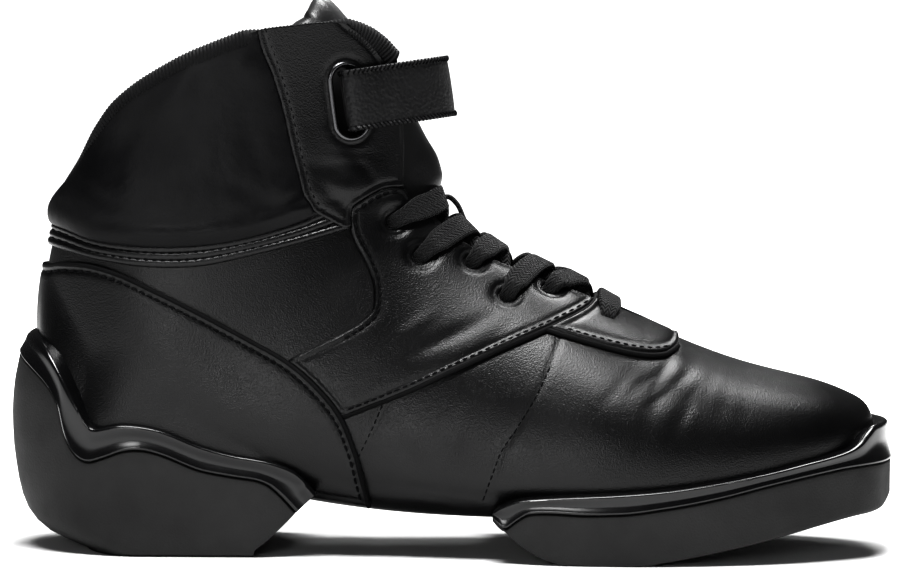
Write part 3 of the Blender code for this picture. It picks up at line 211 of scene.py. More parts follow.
def surface(station, around):
    """Points of the last in the design frame. around runs from -1 (back) over the lateral side to 0 (front)
    to 1."""
    station, around = np.broadcast_arrays(np.asarray(station, float), np.asarray(around, float))
    shape = station.shape
    station, around = station.ravel(), around.ravel()
    front, back, widths, widest, top, bottom = section(station)
    angle = np.abs(around) * math.pi
    half = np.where(around < 0, widths[:, 0], widths[:, 1])
    upper = angle <= math.pi / 2
    sine, cosine = np.abs(np.sin(angle)), np.abs(np.cos(angle))
    power = 2 / np.where(upper, top, bottom)
    side = half * sine ** power
    depth = np.where(upper, widest * (1 - cosine ** power), widest + (1 - widest) * cosine ** power)
    chord = back - front
    length = np.maximum(np.linalg.norm(chord, axis=1), 1e-9)[:, None]
    rise = np.clip((station - BOW_START) / (LAST_STATION - BOW_START), 0, None) ** BOW_POWER
    bow = (COLLAR_BOW * rise * TOP_LINE_RISE(depth))[:, None]
    flat = front + depth[:, None] * chord + bow * np.stack([chord[:, 1], -chord[:, 0]], 1) / length
    across = widths[:, 2] + np.sign(around) * side
    return np.stack([flat[:, 0], across, flat[:, 1]], 1).reshape(shape + (3,))


def normal(station, around):
    """Outward unit normals of the last."""
    station, around = np.broadcast_arrays(np.asarray(station, float), np.asarray(around, float))
    s = np.maximum(station, 0.05)
    a = np.clip(around, -1 + 2e-3, 1 - 2e-3)
    along = surface(s + 0.01, a) - surface(s - 0.01, a)
    round_ = surface(s, a + 1e-3) - surface(s, a - 1e-3)
    out = np.cross(round_, along)
    out[..., 1] = np.where(np.abs(around) > 1 - 2e-3, 0.0, out[..., 1])
    return out / np.maximum(np.linalg.norm(out, axis=-1, keepdims=True), 1e-12)


def throat_edge(station):
    """The value of around at which the throat's edge lies, for one side."""
    station = np.atleast_1d(np.asarray(station, float))
    opening = np.where(station > THROAT_START, THROAT_OPENING(station), 0.0) * BALL_WIDTH
    widths, top = section(station)[2], section(station)[4]
    share = np.clip(opening / np.maximum(widths[:, 1], 1e-6), 0, 0.99)
    return np.arcsin(share ** (top / 2)) / math.pi


TRIAL_S, TRIAL_A = np.meshgrid(np.linspace(0.5, LAST_STATION, 110), np.linspace(0.01, 0.99, 70),
                               indexing="ij")
TRIAL_XZ = surface(TRIAL_S, TRIAL_A)[..., [0, 2]].reshape(-1, 2)


def on_last(points, side):
    """Station and around of the last under side-view points given in metres, on one side."""
    points = np.atleast_2d(points)
    best = np.array([np.argmin(np.sum((TRIAL_XZ - p) ** 2, axis=1)) for p in points])
    s, a = TRIAL_S.ravel()[best], TRIAL_A.ravel()[best]
    for _ in range(7):
        here = surface(s, side * a)[:, [0, 2]]
        by_s = (surface(s + 1e-3, side * a)[:, [0, 2]] - here) / 1e-3
        by_a = (surface(s, side * (a + 1e-4))[:, [0, 2]] - here) / 1e-4
        gap = points - here
        det = by_s[:, 0] * by_a[:, 1] - by_s[:, 1] * by_a[:, 0]
        det = np.where(np.abs(det) < 1e-9, 1e-9, det)
        ds = (gap[:, 0] * by_a[:, 1] - gap[:, 1] * by_a[:, 0]) / det
        da = (by_s[:, 0] * gap[:, 1] - by_s[:, 1] * gap[:, 0]) / det
        s = np.clip(s + np.clip(ds, -0.4, 0.4), 0.0, LAST_STATION + 0.4)
        a = np.clip(a + np.clip(da, -0.03, 0.03), 0.0, 1.0)
    return s, side * a


def smooth_rows(rows, per_span):
    """Catmull-Rom through the rows of a table, of any number of columns."""
    p = np.array(rows, float)
    p = np.vstack([2 * p[0] - p[1], p, 2 * p[-1] - p[-2]])
    t = np.arange(per_span)[:, None] / per_span
    line = []
    for i in range(1, len(p) - 2):
        line.append(0.5 * (2 * p[i] + (p[i + 1] - p[i - 1]) * t
                           + (2 * p[i - 1] - 5 * p[i] + 4 * p[i + 1] - p[i + 2]) * t ** 2
                           + (3 * p[i] - p[i - 1] - 3 * p[i + 1] + p[i + 2]) * t ** 3))
    return np.vstack(line + [p[-2:-1]])


def seam(table, per_span=8):
    """A smooth side-view line from a table of shares, in metres."""
    return smooth_rows(table, per_span) * (UPPER_LENGTH, COLLAR_HEIGHT)


def corner(*shares):
    """Side-view points from shares of the upper's length and the collar's height."""
    return np.vstack([np.array(s, float).reshape(-1, 2) for s in shares]) * (UPPER_LENGTH, COLLAR_HEIGHT)


def inside_distance(points, polygon):
    """Signed distance of side-view points to a closed polygon, positive inside."""
    flat = points.reshape(-1, 2)
    a, b = polygon, np.roll(polygon, -1, axis=0)
    best = np.full(len(flat), np.inf)
    inside = np.zeros(len(flat), bool)
    for p, q in zip(a, b):
        edge = q - p
        size = edge @ edge
        if size < 1e-14:
            continue
        t = np.clip(((flat - p) @ edge) / size, 0, 1)
        best = np.minimum(best, np.sum((flat - p - t[:, None] * edge) ** 2, axis=1))
        if p[1] != q[1]:
            spans = (p[1] > flat[:, 1]) != (q[1] > flat[:, 1])
            inside ^= spans & (flat[:, 0] < (q[0] - p[0]) * (flat[:, 1] - p[1]) / (q[1] - p[1]) + p[0])
    return (np.sqrt(best) * np.where(inside, 1, -1)).reshape(points.shape[:-1])


def line_distance(points, line):
    """Distance of points to an open line, in the side view or in 3-D."""
    flat = points.reshape(-1, points.shape[-1])
    best = np.full(len(flat), np.inf)
    for p, q in zip(line[:-1], line[1:]):
        edge = q - p
        t = np.clip(((flat - p) @ edge) / max(edge @ edge, 1e-14), 0, 1)
        best = np.minimum(best, np.sum((flat - p - t[:, None] * edge) ** 2, axis=1))
    return np.sqrt(best).reshape(points.shape[:-1])


def smoothstep(low, high, value):
    """A smooth change from 0 at low to 1 at high; low may be the larger of the two."""
    t = np.clip((np.asarray(value, float) - low) / (high - low), 0, 1)
    return t * t * (3 - 2 * t)


# Creases and swellings of the leather, seen from the side: ends and sizes in shares of UPPER_LENGTH and
# COLLAR_HEIGHT. A negative depth is a ridge.
CREASES = [
    # x0, z0, x1, z1, half_width, depth, both in millimetres
    (0.800, 0.345, 0.752, 0.255, 2.6, 0.20), (0.780, 0.365, 0.722, 0.285, 2.2, 0.22),
    (0.755, 0.372, 0.700, 0.315, 1.8, 0.20), (0.735, 0.340, 0.715, 0.220, 3.0, 0.16),
    (0.766, 0.300, 0.742, 0.200, 2.8, 0.12), (0.705, 0.355, 0.662, 0.285, 2.2, 0.14),
    (0.820, 0.330, 0.798, 0.250, 2.6, 0.12), (0.840, 0.315, 0.815, 0.215, 3.0, 0.10),
    (0.765, 0.395, 0.752, 0.330, 2.2, -0.22), (0.748, 0.374, 0.728, 0.321, 1.4, 0.22),
    (0.790, 0.340, 0.768, 0.250, 1.7, -0.12), (0.772, 0.352, 0.748, 0.330, 0.9, 0.12),
    (0.760, 0.335, 0.730, 0.300, 0.8, 0.10), (0.742, 0.318, 0.718, 0.292, 0.8, 0.10),
    (0.785, 0.332, 0.764, 0.300, 0.9, 0.10), (0.728, 0.345, 0.702, 0.330, 0.8, 0.10),
    (0.340, 0.688, 0.395, 0.703, 5.0, -1.20), (0.405, 0.662, 0.440, 0.668, 3.5, -0.60),
    (0.130, 0.850, 0.190, 0.895, 7.0, -0.70), (0.235, 0.930, 0.262, 0.900, 5.0, -0.60),
    (0.288, 0.695, 0.308, 0.675, 4.0, -0.70), (0.345, 0.735, 0.390, 0.730, 1.2, 0.18),
    (0.335, 0.665, 0.380, 0.672, 1.0, 0.16), (0.350, 0.760, 0.395, 0.752, 1.3, 0.15),
    (0.500, 0.420, 0.430, 0.370, 2.4, 0.35), (0.540, 0.450, 0.470, 0.395, 2.2, 0.32),
    (0.560, 0.430, 0.510, 0.360, 2.4, 0.30), (0.470, 0.455, 0.425, 0.400, 2.0, -0.30),
    (0.335, 0.700, 0.375, 0.640, 2.0, 0.55), (0.325, 0.735, 0.385, 0.700, 2.4, 0.45),
    (0.375, 0.745, 0.405, 0.690, 1.8, 0.40), (0.345, 0.790, 0.372, 0.720, 2.6, -0.35),
    (0.110, 0.760, 0.150, 0.900, 3.2, 0.42), (0.140, 0.820, 0.175, 0.930, 3.0, 0.40),
    (0.160, 0.780, 0.215, 0.840, 3.4, 0.30), (0.085, 0.620, 0.200, 0.612, 2.0, 0.55),
    (0.225, 0.700, 0.290, 0.650, 3.0, 0.45), (0.060, 0.700, 0.110, 0.640, 2.6, 0.38),
    (0.180, 0.640, 0.300, 0.690, 3.4, -0.40), (0.250, 0.810, 0.275, 0.700, 3.0, 0.35),
    (0.105, 0.800, 0.190, 0.860, 4.0, -0.35), (0.210, 0.930, 0.190, 0.850, 3.0, 0.30),
    (0.200, 0.400, 0.290, 0.300, 6.0, 0.25), (0.120, 0.430, 0.220, 0.330, 7.0, -0.25),
    (0.400, 0.130, 0.520, 0.105, 2.4, 0.45), (0.430, 0.105, 0.500, 0.085, 1.6, 0.35),
    (0.420, 0.250, 0.470, 0.140, 4.0, 0.30), (0.505, 0.270, 0.480, 0.160, 3.2, 0.25),
]
# Plain seams in the lower leather, and the depth and half width of their grooves in millimetres
VAMP_SEAM = [
    (0.622, 0.418), (0.608, 0.362), (0.593, 0.312), (0.572, 0.256), (0.553, 0.209), (0.542, 0.163),
    (0.533, 0.120),
]
QUARTER_SEAM = [(0.417, 0.302), (0.403, 0.247), (0.388, 0.196)]
SEAM_DEPTH = 0.35
SEAM_HALF_WIDTH = 0.75


def relief(points):
    """Outward displacement of the leather at design-frame points."""
    seen = points[..., [0, 2]]
    lateral = 0.9 - 0.1 * np.tanh(points[..., 1] / 0.01)
    total = np.zeros(seen.shape[:-1])
    for x0, z0, x1, z1, half_width, depth in CREASES:
        a, b = corner((x0, z0))[0], corner((x1, z1))[0]
        edge = b - a
        t = np.clip(((seen - a) @ edge) / (edge @ edge), 0, 1)
        away = np.linalg.norm(seen - a - t[..., None] * edge, axis=-1) / (half_width * 1e-3)
        total -= depth * 1e-3 * np.exp(-away ** 2) * (0.35 + 0.65 * np.sin(math.pi * np.clip(t, 0.04, 0.96)))
    for table in (VAMP_SEAM, QUARTER_SEAM):
        away = line_distance(seen, seam(table, 3)) / (SEAM_HALF_WIDTH * 1e-3)
        total -= SEAM_DEPTH * 1e-3 * np.exp(-away ** 2)
    return total * lateral


class Patch:
    """A triangle mesh over (station, around) that can be split along level lines of a field."""

    def __init__(self, stations, arounds):
        self.uv = np.stack([stations, arounds], -1).reshape(-1, 2)
        rows, columns = stations.shape
        k = np.arange(rows * columns).reshape(rows, columns)
        a, b, c, d = k[:-1, :-1].ravel(), k[1:, :-1].ravel(), k[1:, 1:].ravel(), k[:-1, 1:].ravel()
        self.tris = np.concatenate([np.stack([a, b, c], 1), np.stack([a, c, d], 1)])

    def points(self):
        """The patch's points on the last."""
        return surface(self.uv[:, 0], self.uv[:, 1])

    def split(self, field, level):
        """Adds vertices where the field, a function of the patch, crosses a level."""
        value = field(self) - level
        value[np.abs(value) < 2e-6] = 0.0
        sign = np.sign(value)[self.tris]
        crossing = (sign.max(1) > 0) & (sign.min(1) < 0)
        keep, made, fresh = [self.tris[~crossing]], [], {}
        uv = list(self.uv)

        def cut(i, j):
            """Number of the point at which an edge crosses the level."""
            key = (min(i, j), max(i, j))
            if key not in fresh:
                t = value[i] / (value[i] - value[j])
                fresh[key] = len(uv)
                uv.append(self.uv[i] + (self.uv[j] - self.uv[i]) * t)
            return fresh[key]

        for tri in self.tris[crossing]:
            ordered = [int(v) for v in tri]
            while value[ordered[0]] * value[ordered[1]] > 0 or value[ordered[0]] == 0 or (
                    value[ordered[0]] * value[ordered[2]] > 0):
                ordered = ordered[1:] + ordered[:1]
            a, b, c = ordered
            if value[b] == 0 or value[c] == 0:
                p = cut(a, c) if value[b] == 0 else cut(a, b)
                made += [(a, b, p), (p, b, c)] if value[b] == 0 else [(a, p, c), (p, b, c)]
            else:
                p, q = cut(a, b), cut(a, c)
                made += [(a, p, q), (p, b, c), (p, c, q)]
        if made:
            keep.append(np.array(made))
        self.uv = np.array(uv)
        self.tris = np.concatenate(keep)

    def keep(self, field):
        """Drops the triangles whose middle has a field below zero."""
        middle = field(self)[self.tris].mean(1)
        self.tris = self.tris[middle > 0]
        used = np.unique(self.tris)
        renumber = np.full(len(self.uv), -1)
        renumber[used] = np.arange(len(used))
        self.uv, self.tris = self.uv[used], renumber[self.tris]


def add(name, points, faces, finish, replaced=(), slot=None, weld=0.0, uv=None):
    """A mesh piece from design-frame points, riding on the root. uv gives a pair of lengths for each
    point."""
    mesh = bpy.data.meshes.new(name)
    mesh.from_pydata((np.asarray(points) + SHIFT).tolist(), [], [tuple(int(v) for v in f) for f in faces])
    if uv is not None:
        corners = np.empty(len(mesh.loops), int)
        mesh.loops.foreach_get("vertex_index", corners)
        mesh.uv_layers.new(name="lengths").data.foreach_set("uv", np.asarray(uv)[corners].ravel())
    if weld:
        work = bmesh.new()
        work.from_mesh(mesh)
        bmesh.ops.remove_doubles(work, verts=work.verts, dist=weld)
        work.to_mesh(mesh)
        work.free()
    mesh.update()
    mesh.shade_smooth()
    mesh.materials.append(finish)
    made = bpy.data.objects.new(name, mesh)
    bpy.context.scene.collection.objects.link(made)
    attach(made, "root")
    if replaced:
        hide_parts(*replaced)
    return made


def grid_faces(rows, columns, closed=False, offset=0):
    """Four-sided faces of a grid of points; closed joins its last column to its first."""
    k = np.arange(rows * columns).reshape(rows, columns) + offset
    if closed:
        k = np.concatenate([k, k[:, :1]], axis=1)
    a, b, c, d = k[:-1, :-1].ravel(), k[1:, :-1].ravel(), k[1:, 1:].ravel(), k[:-1, 1:].ravel()
    return np.stack([a, b, c, d], 1).tolist()


def make_patch(reach, columns, side, rows_each=13, columns_each=115):
    """A patch between two stations, and between two shares of the way from the throat's edge to the back
    line."""
    rows = np.linspace(*reach, int((reach[1] - reach[0]) * rows_each) + 2)
    share = np.linspace(*columns, int((columns[1] - columns[0]) * columns_each) + 2)
    edge = throat_edge(rows)[:, None]
    around = edge + (1 - edge) * share
    return Patch(np.repeat(rows[:, None], len(share), axis=1), side * around)


def place_on(x_share, z_share, side):
    """Station and turn of the last's place at a side-view point in shares."""
    s, a = on_last(corner((x_share, z_share)), side)
    return float(s[0]), float(a[0])


def frame_at(place):
    """Middle, outward, forward and upward directions at one place of the last."""
    out = normal(*place)
    forward = np.array([1.0, 0.0, 0.0]) - out * out[0]
    forward /= np.linalg.norm(forward)
    up = np.cross(out, forward) if place[1] < 0 else np.cross(forward, out)
    return surface(*place), out, forward, up


def hole_distance(points, place, radius):
    """Distance of points from the rim of a round hole at a place of the last."""
    middle, out, forward, up = frame_at(place)
    away = points - middle
    flat = np.hypot(away @ forward, away @ up) - radius
    return np.where(np.abs(away @ out) < 0.02, flat, 0.05)


def slot_distance(points):
    """Distance of points from the rim of the strap's slot."""
    middle, out, forward, up = frame_at(place_on(*SLOT_CENTRE, -1))
    away = points - middle
    wide = (away @ forward) * math.cos(SLOT_LEAN) + (away @ up) * math.sin(SLOT_LEAN)
    tall = -(away @ forward) * math.sin(SLOT_LEAN) + (away @ up) * math.cos(SLOT_LEAN)
    beyond = np.maximum(np.abs(tall) - (SLOT_LENGTH - SLOT_WIDTH) / 2, 0)
    flat = np.hypot(wide, beyond) - SLOT_WIDTH / 2
    return np.where(np.abs(away @ out) < 0.02, flat, 0.05)


def throat_line(side):
    """Points along the throat's edge on one side."""
    rows = np.linspace(THROAT_START, LAST_STATION, 130)
    return surface(rows, side * throat_edge(rows))


THROAT_LINES = {side: throat_line(side) for side in (-1, 1)}
HOLES = {side: [place_on(x, z, side) for x, z in EYELETS] for side in (-1, 1)}


def edge_field(side, outline=None, throat=False, holes=False, slot=False, grow=0.0):
    """A field for patches: the distance inwards from the panel's edges."""
    def field(patch):
        points = patch.points()
        away = np.full(len(points), 0.05)
        if outline is not None:
            away = np.minimum(away, inside_distance(points[:, [0, 2]], outline) + grow)
        if throat:
            away = np.minimum(away, line_distance(points, THROAT_LINES[side]))
        if holes:
            for place in HOLES[side]:
                away = np.minimum(away, hole_distance(points, place, EYELET_RADIUS))
        if slot and side < 0:
            away = np.minimum(away, slot_distance(points))
        return away

    return field


PANEL_SEAT = 0.0003
PANEL_ROLL = 0.0009
PANEL_SUNK = 0.00025
ROLL_LEVELS = (0.00012, 0.0004, 0.0010)
GROOVE_LEVELS = (0.0016, 0.0022, 0.0028)
GROOVE_INSET = 0.0022
GROOVE_HALF_WIDTH = 0.0007
WELD = 4e-6


def rounded(away, thickness):
    """Height of a panel over its seat, rolling down at its edge."""
    t = np.clip(away / PANEL_ROLL, 0, 1)
    return (thickness + PANEL_SUNK) * np.sqrt(1 - (1 - t) ** 2) - PANEL_SUNK


def flipped_outward(points, tris, uv):
    """The triangles turned so that they face away from the last."""
    a, b, c = points[tris[:, 0]], points[tris[:, 1]], points[tris[:, 2]]
    face = np.cross(b - a, c - a)
    out = normal(uv[tris, 0].mean(1), uv[tris, 1].mean(1))
    return tris if np.sum(face * out) > 0 else tris[:, ::-1]


def panel(name, finish, sides, reach, columns, outline, thickness, groove=0.0, throat=False, holes=False,
          slot=False, grow=0.0, swell=None, replaced=(), slot_name="black_leather"):
    """A sewn panel over the last: its rim rolls down to the base, and a sewing groove follows the rim."""
    levels = ROLL_LEVELS + (GROOVE_LEVELS if groove else ())
    all_points, all_tris, start = [], [], 0
    for side in sides:
        patch = make_patch(reach, columns, side)
        field = edge_field(side, outline, throat, holes, slot, grow)
        patch.split(field, 0.0)
        patch.keep(field)
        for level in levels:
            patch.split(field, level)
        away = field(patch)
        points = patch.points()
        height = PANEL_SEAT + rounded(away, thickness) + relief(points)
        height -= groove * np.exp(-((away - GROOVE_INSET) / GROOVE_HALF_WIDTH) ** 2)
        if swell is not None:
            height += swell(points, away)
        out = normal(patch.uv[:, 0], patch.uv[:, 1])
        tris = flipped_outward(points, patch.tris, patch.uv)
        all_points.append(points + out * height[:, None])
        all_tris.append(tris + start)
        start += len(points)
    return add(name, np.concatenate(all_points), np.concatenate(all_tris), finish, replaced, slot_name,
               weld=WELD)


def offset_line(line, distance):
    """A side-view line moved to its left."""
    way = np.gradient(line, axis=0)
    way /= np.maximum(np.linalg.norm(way, axis=1, keepdims=True), 1e-9)
    return line + distance * np.stack([-way[:, 1], way[:, 0]], 1)


def resampled(line, step):
    """Points at equal steps along a line."""
    run = np.concatenate([[0], np.cumsum(np.linalg.norm(np.diff(line, axis=0), axis=1))])
    at = np.arange(0, run[-1], step)
    return np.stack([np.interp(at, run, line[:, k]) for k in range(line.shape[1])], 1)


def laid(points, side):
    """Stations and arounds under side-view points, and which of the points lie on the last."""
    s, a = on_last(points, side)
    miss = np.linalg.norm(surface(s, a)[:, [0, 2]] - points, axis=1)
    return s, a, miss < 2.5e-4


STITCH_PITCH = 0.0026
STITCH_LENGTH = 0.0018
THREAD = 0.00036
STITCH_RINGS = [
    # place along the stitch, height over its seat in threads, share of the thread's radius
    (0.00, -1.2, 0.55), (0.08, -0.1, 0.90), (0.28, 0.6, 1.0), (0.50, 0.75, 1.0), (0.72, 0.6, 1.0),
    (0.92, -0.1, 0.90), (1.00, -1.2, 0.55),
]


def stitch_row(line, side, height, inset=0.0, length=STITCH_LENGTH, pitch=STITCH_PITCH, thread=THREAD):
    """Points and faces of a row of stitches along a side-view line, moved sideways by an inset."""
    line = offset_line(resampled(line, 0.0004), inset)
    starts = resampled(line, pitch)
    way = np.gradient(starts, axis=0)
    way /= np.maximum(np.linalg.norm(way, axis=1, keepdims=True), 1e-9)
    rings = np.array(STITCH_RINGS)
    seen = starts[:, None] + way[:, None] * rings[None, :, :1] * length
    s, a, good = laid(seen.reshape(-1, 2), side)
    good = good.reshape(len(starts), -1).all(1)
    points = surface(s, a)
    out = normal(s, a)
    lift = height + relief(points) + np.tile(rings[:, 1], len(starts)) * thread
    path = (points + out * lift[:, None]).reshape(len(starts), -1, 3)[good]
    out = out.reshape(len(starts), -1, 3)[good]
    if not len(path):
        return np.zeros((0, 3)), []
    along = np.gradient(path, axis=1)
    along /= np.linalg.norm(along, axis=2, keepdims=True)
    across = np.cross(along, out)
    across /= np.linalg.norm(across, axis=2, keepdims=True)
    out = np.cross(across, along)
    turn = np.linspace(0, 2 * math.pi, 6, endpoint=False)
    radius = (rings[:, 2] * thread)[None, :, None, None]
    loops = path[:, :, None] + radius * (across[:, :, None] * np.cos(turn)[:, None]
                                         + out[:, :, None] * np.sin(turn)[:, None])
    count, levels, sides = loops.shape[:3]
    faces = []
    for k in range(count):
        faces += grid_faces(levels, sides, closed=True, offset=k * levels * sides)
    return loops.reshape(-1, 3), faces


def piping(line, side, radius, height, squash=1.0):
    """Points and faces of a cord that edges a panel along a side-view line."""
    s, a, good = laid(resampled(line, 0.0008), side)
    s, a = s[good], a[good]
    out = normal(s, a)
    points = surface(s, a)
    return round_tube(points + out * (height + relief(points))[:, None], out, radius, 10, squash)


def rim_edges(tris):
    """Edges that belong to one triangle only, in that triangle's direction."""
    edges = np.concatenate([tris[:, [0, 1]], tris[:, [1, 2]], tris[:, [2, 0]]])
    _, index, count = np.unique(np.sort(edges, axis=1), axis=0, return_index=True, return_counts=True)
    return edges[index[count == 1]]


def build_upper(leather):
    """The lasted upper's outer skin with its creases and seams, and the wall at every cut edge."""
    outer_points, inner_points, outer_tris, walls, start = [], [], [], [], 0
    for side in (-1, 1):
        patch = make_patch((0.0, LAST_STATION), (0, 1), side, rows_each=15, columns_each=130)
        field = edge_field(side, holes=True, slot=True)
        patch.split(field, 0.0)
        patch.keep(field)
        points = patch.points()
        out = normal(patch.uv[:, 0], patch.uv[:, 1])
        tris = flipped_outward(points, patch.tris, patch.uv)
        outer_points.append(points + out * relief(points)[:, None])
        inner_points.append(points - out * (WALL - 0.0002))
        outer_tris.append(tris + start)
        edges = rim_edges(tris)
        around = patch.uv[edges, 1]
        inside = ~(np.all(np.abs(around) > 1 - 1e-6, axis=1) | np.all(np.abs(around) < 1e-6, axis=1))
        walls.append(edges[inside] + start)
        start += len(points)
    walls = np.concatenate(walls)
    a, b = walls[:, 1], walls[:, 0]
    wall_tris = np.concatenate([np.stack([a, b, b + start], 1), np.stack([a, b + start, a + start], 1)])
    tris = np.concatenate(outer_tris + [wall_tris])
    used = np.unique(tris)
    renumber = np.full(2 * start, -1)
    renumber[used] = np.arange(len(used))
    points = np.concatenate(outer_points + inner_points)[used]
    made = add("upper_leather", points, renumber[tris], leather, ("upper",), "black_leather", weld=WELD)
    made.data.set_sharp_from_angle(angle=math.radians(55))
    return made


def build_lining(finish):
    """The upper's inner skin, at a coarser pitch."""
    all_points, all_tris, start = [], [], 0
    for side in (-1, 1):
        patch = make_patch((0.15, LAST_STATION), (0, 1), side, rows_each=7, columns_each=60)
        field = edge_field(side, slot=True)
        patch.split(field, 0.0)
        patch.keep(field)
        points = patch.points()
        tris = flipped_outward(points, patch.tris, patch.uv)[:, ::-1]
        all_points.append(points - normal(patch.uv[:, 0], patch.uv[:, 1]) * WALL)
        all_tris.append(tris + start)
        start += len(points)
    return add("upper_lining", np.concatenate(all_points), np.concatenate(all_tris), finish, (),
               "grey_sock_lining", weld=WELD)


def heel_cup(points, _):
    """Outward swelling of the counter where it meets the heel unit, so that the two are nearly flush."""
    x, y, z = points[:, 0], np.abs(points[:, 1]), points[:, 2]
    top = seam(HEEL_RAND_TOP, 6)
    over = z - np.interp(x, top[:, 0], top[:, 1])
    behind = np.clip(HEEL_WIDEST_AT - x, 0, None) / (HEEL_WIDEST_AT + HEEL_BACK)
    share = (behind ** HEEL_POWER + (y / HEEL_HALF_WIDTH) ** HEEL_POWER) ** (1 / HEEL_POWER)
    room = np.clip((1 - share) * HEEL_HALF_WIDTH - CUP_MARGIN, 0, CUP_LIMIT)
    beside = smoothstep(0.22, 0.60, y / HEEL_HALF_WIDTH)
    return room * beside * smoothstep(CUP_FADE, 0.0, over) * smoothstep(0.335, 0.26, x / UPPER_LENGTH)


def build_panels(leather, padding, cord):
    """The sewn panels, the band's ridges and the edge cords."""
    counter_top = seam(COUNTER_TOP)
    counter = np.vstack([counter_top, corner((0.350, 0.110), (0.300, 0.120), (-0.3, 0.120), (-0.3, 0.532))])
    panel("heel_counter_leather", leather, (-1, 1), (8.6, LAST_STATION), (0.15, 1), counter, thickness=0.0016,
          groove=0.0004, replaced=("heel_counter",), swell=heel_cup)
    band_top, band_low, flap_back = seam(BAND_TOP), seam(BAND_LOW), seam(FLAP_BACK)
    band = np.vstack([band_low, band_top[::-1]])
    panel("collar_band_leather", leather, (-1, 1), (11.0, LAST_STATION), (0.2, 1), band, thickness=0.0009,
          replaced=("collar_band",), grow=0.0004)
    build_band_ridges(leather)

    behind = np.vstack([band_top, flap_back[::-1], corner((-0.3, 1.15), (-0.3, 0.630))])
    rim_rounds = np.concatenate([np.linspace(-1, -0.12, 150), np.linspace(0.12, 1, 150)])
    rim = surface(LAST_STATION, rim_rounds)

    def pad_swell(points, away):
        back = smoothstep(0.22, 0.08, points[:, 0] / UPPER_LENGTH)
        under_rim = np.maximum(line_distance(points, rim) - 0.001, 0) / (0.0095 - 0.0045 * back)
        full = np.clip(np.minimum(away / (0.0095 - 0.0035 * back), under_rim), 0, 1)
        low = smoothstep(0.80, 0.66, points[:, 2] / COLLAR_HEIGHT)
        roll = np.clip(line_distance(points[:, [0, 2]], band_top) / 0.0045, 0, 2)
        roll = np.exp(-((roll - 0.85) / 0.5) ** 2)
        return 0.0029 * np.sqrt(1 - (1 - full) ** 2) * (0.45 * (1 - back) + (0.15 + 0.85 * back) * low) \
            + 0.0010 * roll * (1 - back)

    pad = panel("collar_pad_leather", padding, (-1, 1), (11.0, LAST_STATION), (0.12, 1), behind,
                thickness=0.0009, swell=pad_swell, grow=0.0006, replaced=("collar_pad",),
                slot_name="black_smooth_padding")

    tab_top = seam(TAB_TOP)
    flap_low = tab_top[tab_top[:, 0] < 0.426 * UPPER_LENGTH]
    flap = np.vstack([flap_back, corner(BAND_LOW[-2]), flap_low[1:], corner((0.60, 0.700)),
                      seam(FLAP_TOP)[::-1]])
    high = counter_top[:, 1] / COLLAR_HEIGHT
    by_counter = counter_top[(high < 0.369) & (high > 0.266)]
    eyestay_low = seam(EYESTAY_LOW)
    eyestay = np.vstack([by_counter, eyestay_low, corner((0.60, 0.620)), tab_top[::-1],
                         seam(EYESTAY_BACK)[::-1][1:-1]])
    saddle = np.vstack([seam(SADDLE_LOW), corner((0.765, 0.60), (0.662, 0.60)),
                        eyestay_low[eyestay_low[:, 0] > 0.606 * UPPER_LENGTH][::-1]])

    def eyelet_dips(side):
        def dip(points, _):
            near = np.min([hole_distance(points, place, EYELET_RADIUS) for place in HOLES[side]], axis=0)
            return -0.0009 * np.exp(-(np.clip(near, 0, 1) / 0.0022) ** 2)

        return dip

    for side, word in ((-1, "lateral"), (1, "medial")):
        panel("ankle_flap_%s_leather" % word, leather, (side,), (11.0, LAST_STATION), (0, 0.8), flap,
              thickness=0.0018, throat=True, slot=True, replaced=("ankle_flap_" + word,), groove=0.0003,
              grow=0.0003)
        panel("eyestay_%s_leather" % word, leather, (side,), (THROAT_START, 14.8), (0, 0.9), eyestay,
              thickness=0.0014, throat=True, holes=True, replaced=("eyestay_" + word,), groove=0.0003,
              grow=0.0003, swell=eyelet_dips(side))
    panel("throat_saddle_leather", leather, (-1, 1), (3.6, 9.2), (0, 0.55), saddle, thickness=0.0013,
          replaced=("throat_saddle",), groove=0.0003)
    build_edges(cord, eyestay_low, counter_top)


RIDGE_SHARES = (0.12, 0.5, 0.88)
RIDGE_RADIUS = 0.00125
RIDGE_HEIGHT = 0.0009
RIDGE_SQUASH = 0.72


def band_line(share):
    """A side-view line at a share of the way from the band's top seam down to its low one."""
    x = np.linspace(0.0, BAND_SHOWN * UPPER_LENGTH, 90)
    top, low = (np.interp(x, line[:, 0], line[:, 1]) for line in (seam(BAND_TOP), seam(BAND_LOW)))
    return np.stack([x, top + (low - top) * share], 1)


def build_band_ridges(leather):
    """The band's three soft ridges."""
    parts = [piping(band_line(share), side, RIDGE_RADIUS, RIDGE_HEIGHT, RIDGE_SQUASH)
             for share in RIDGE_SHARES for side in (-1, 1)]
    add("collar_band_ridges", *joined(parts), leather, (), "black_leather")


def build_edges(cord, eyestay_low, counter_top):
    """The cords that edge the eyestay, the saddle and the counter."""
    low = eyestay_low[eyestay_low[:, 0] < 0.664 * UPPER_LENGTH]
    parts = []
    for side in (-1, 1):
        parts.append(piping(offset_line(low, -0.0004), side, 0.00085, 0.0007))
        parts.append(piping(offset_line(seam(SADDLE_LOW[:-1]), -0.0004), side, 0.00085, 0.0006))
        parts.append(piping(offset_line(counter_top[counter_top[:, 0] > 0.0], -0.0007), side, 0.0008, 0.0013))
    add("folded_edges", *joined(parts), cord, (), "black_leather")


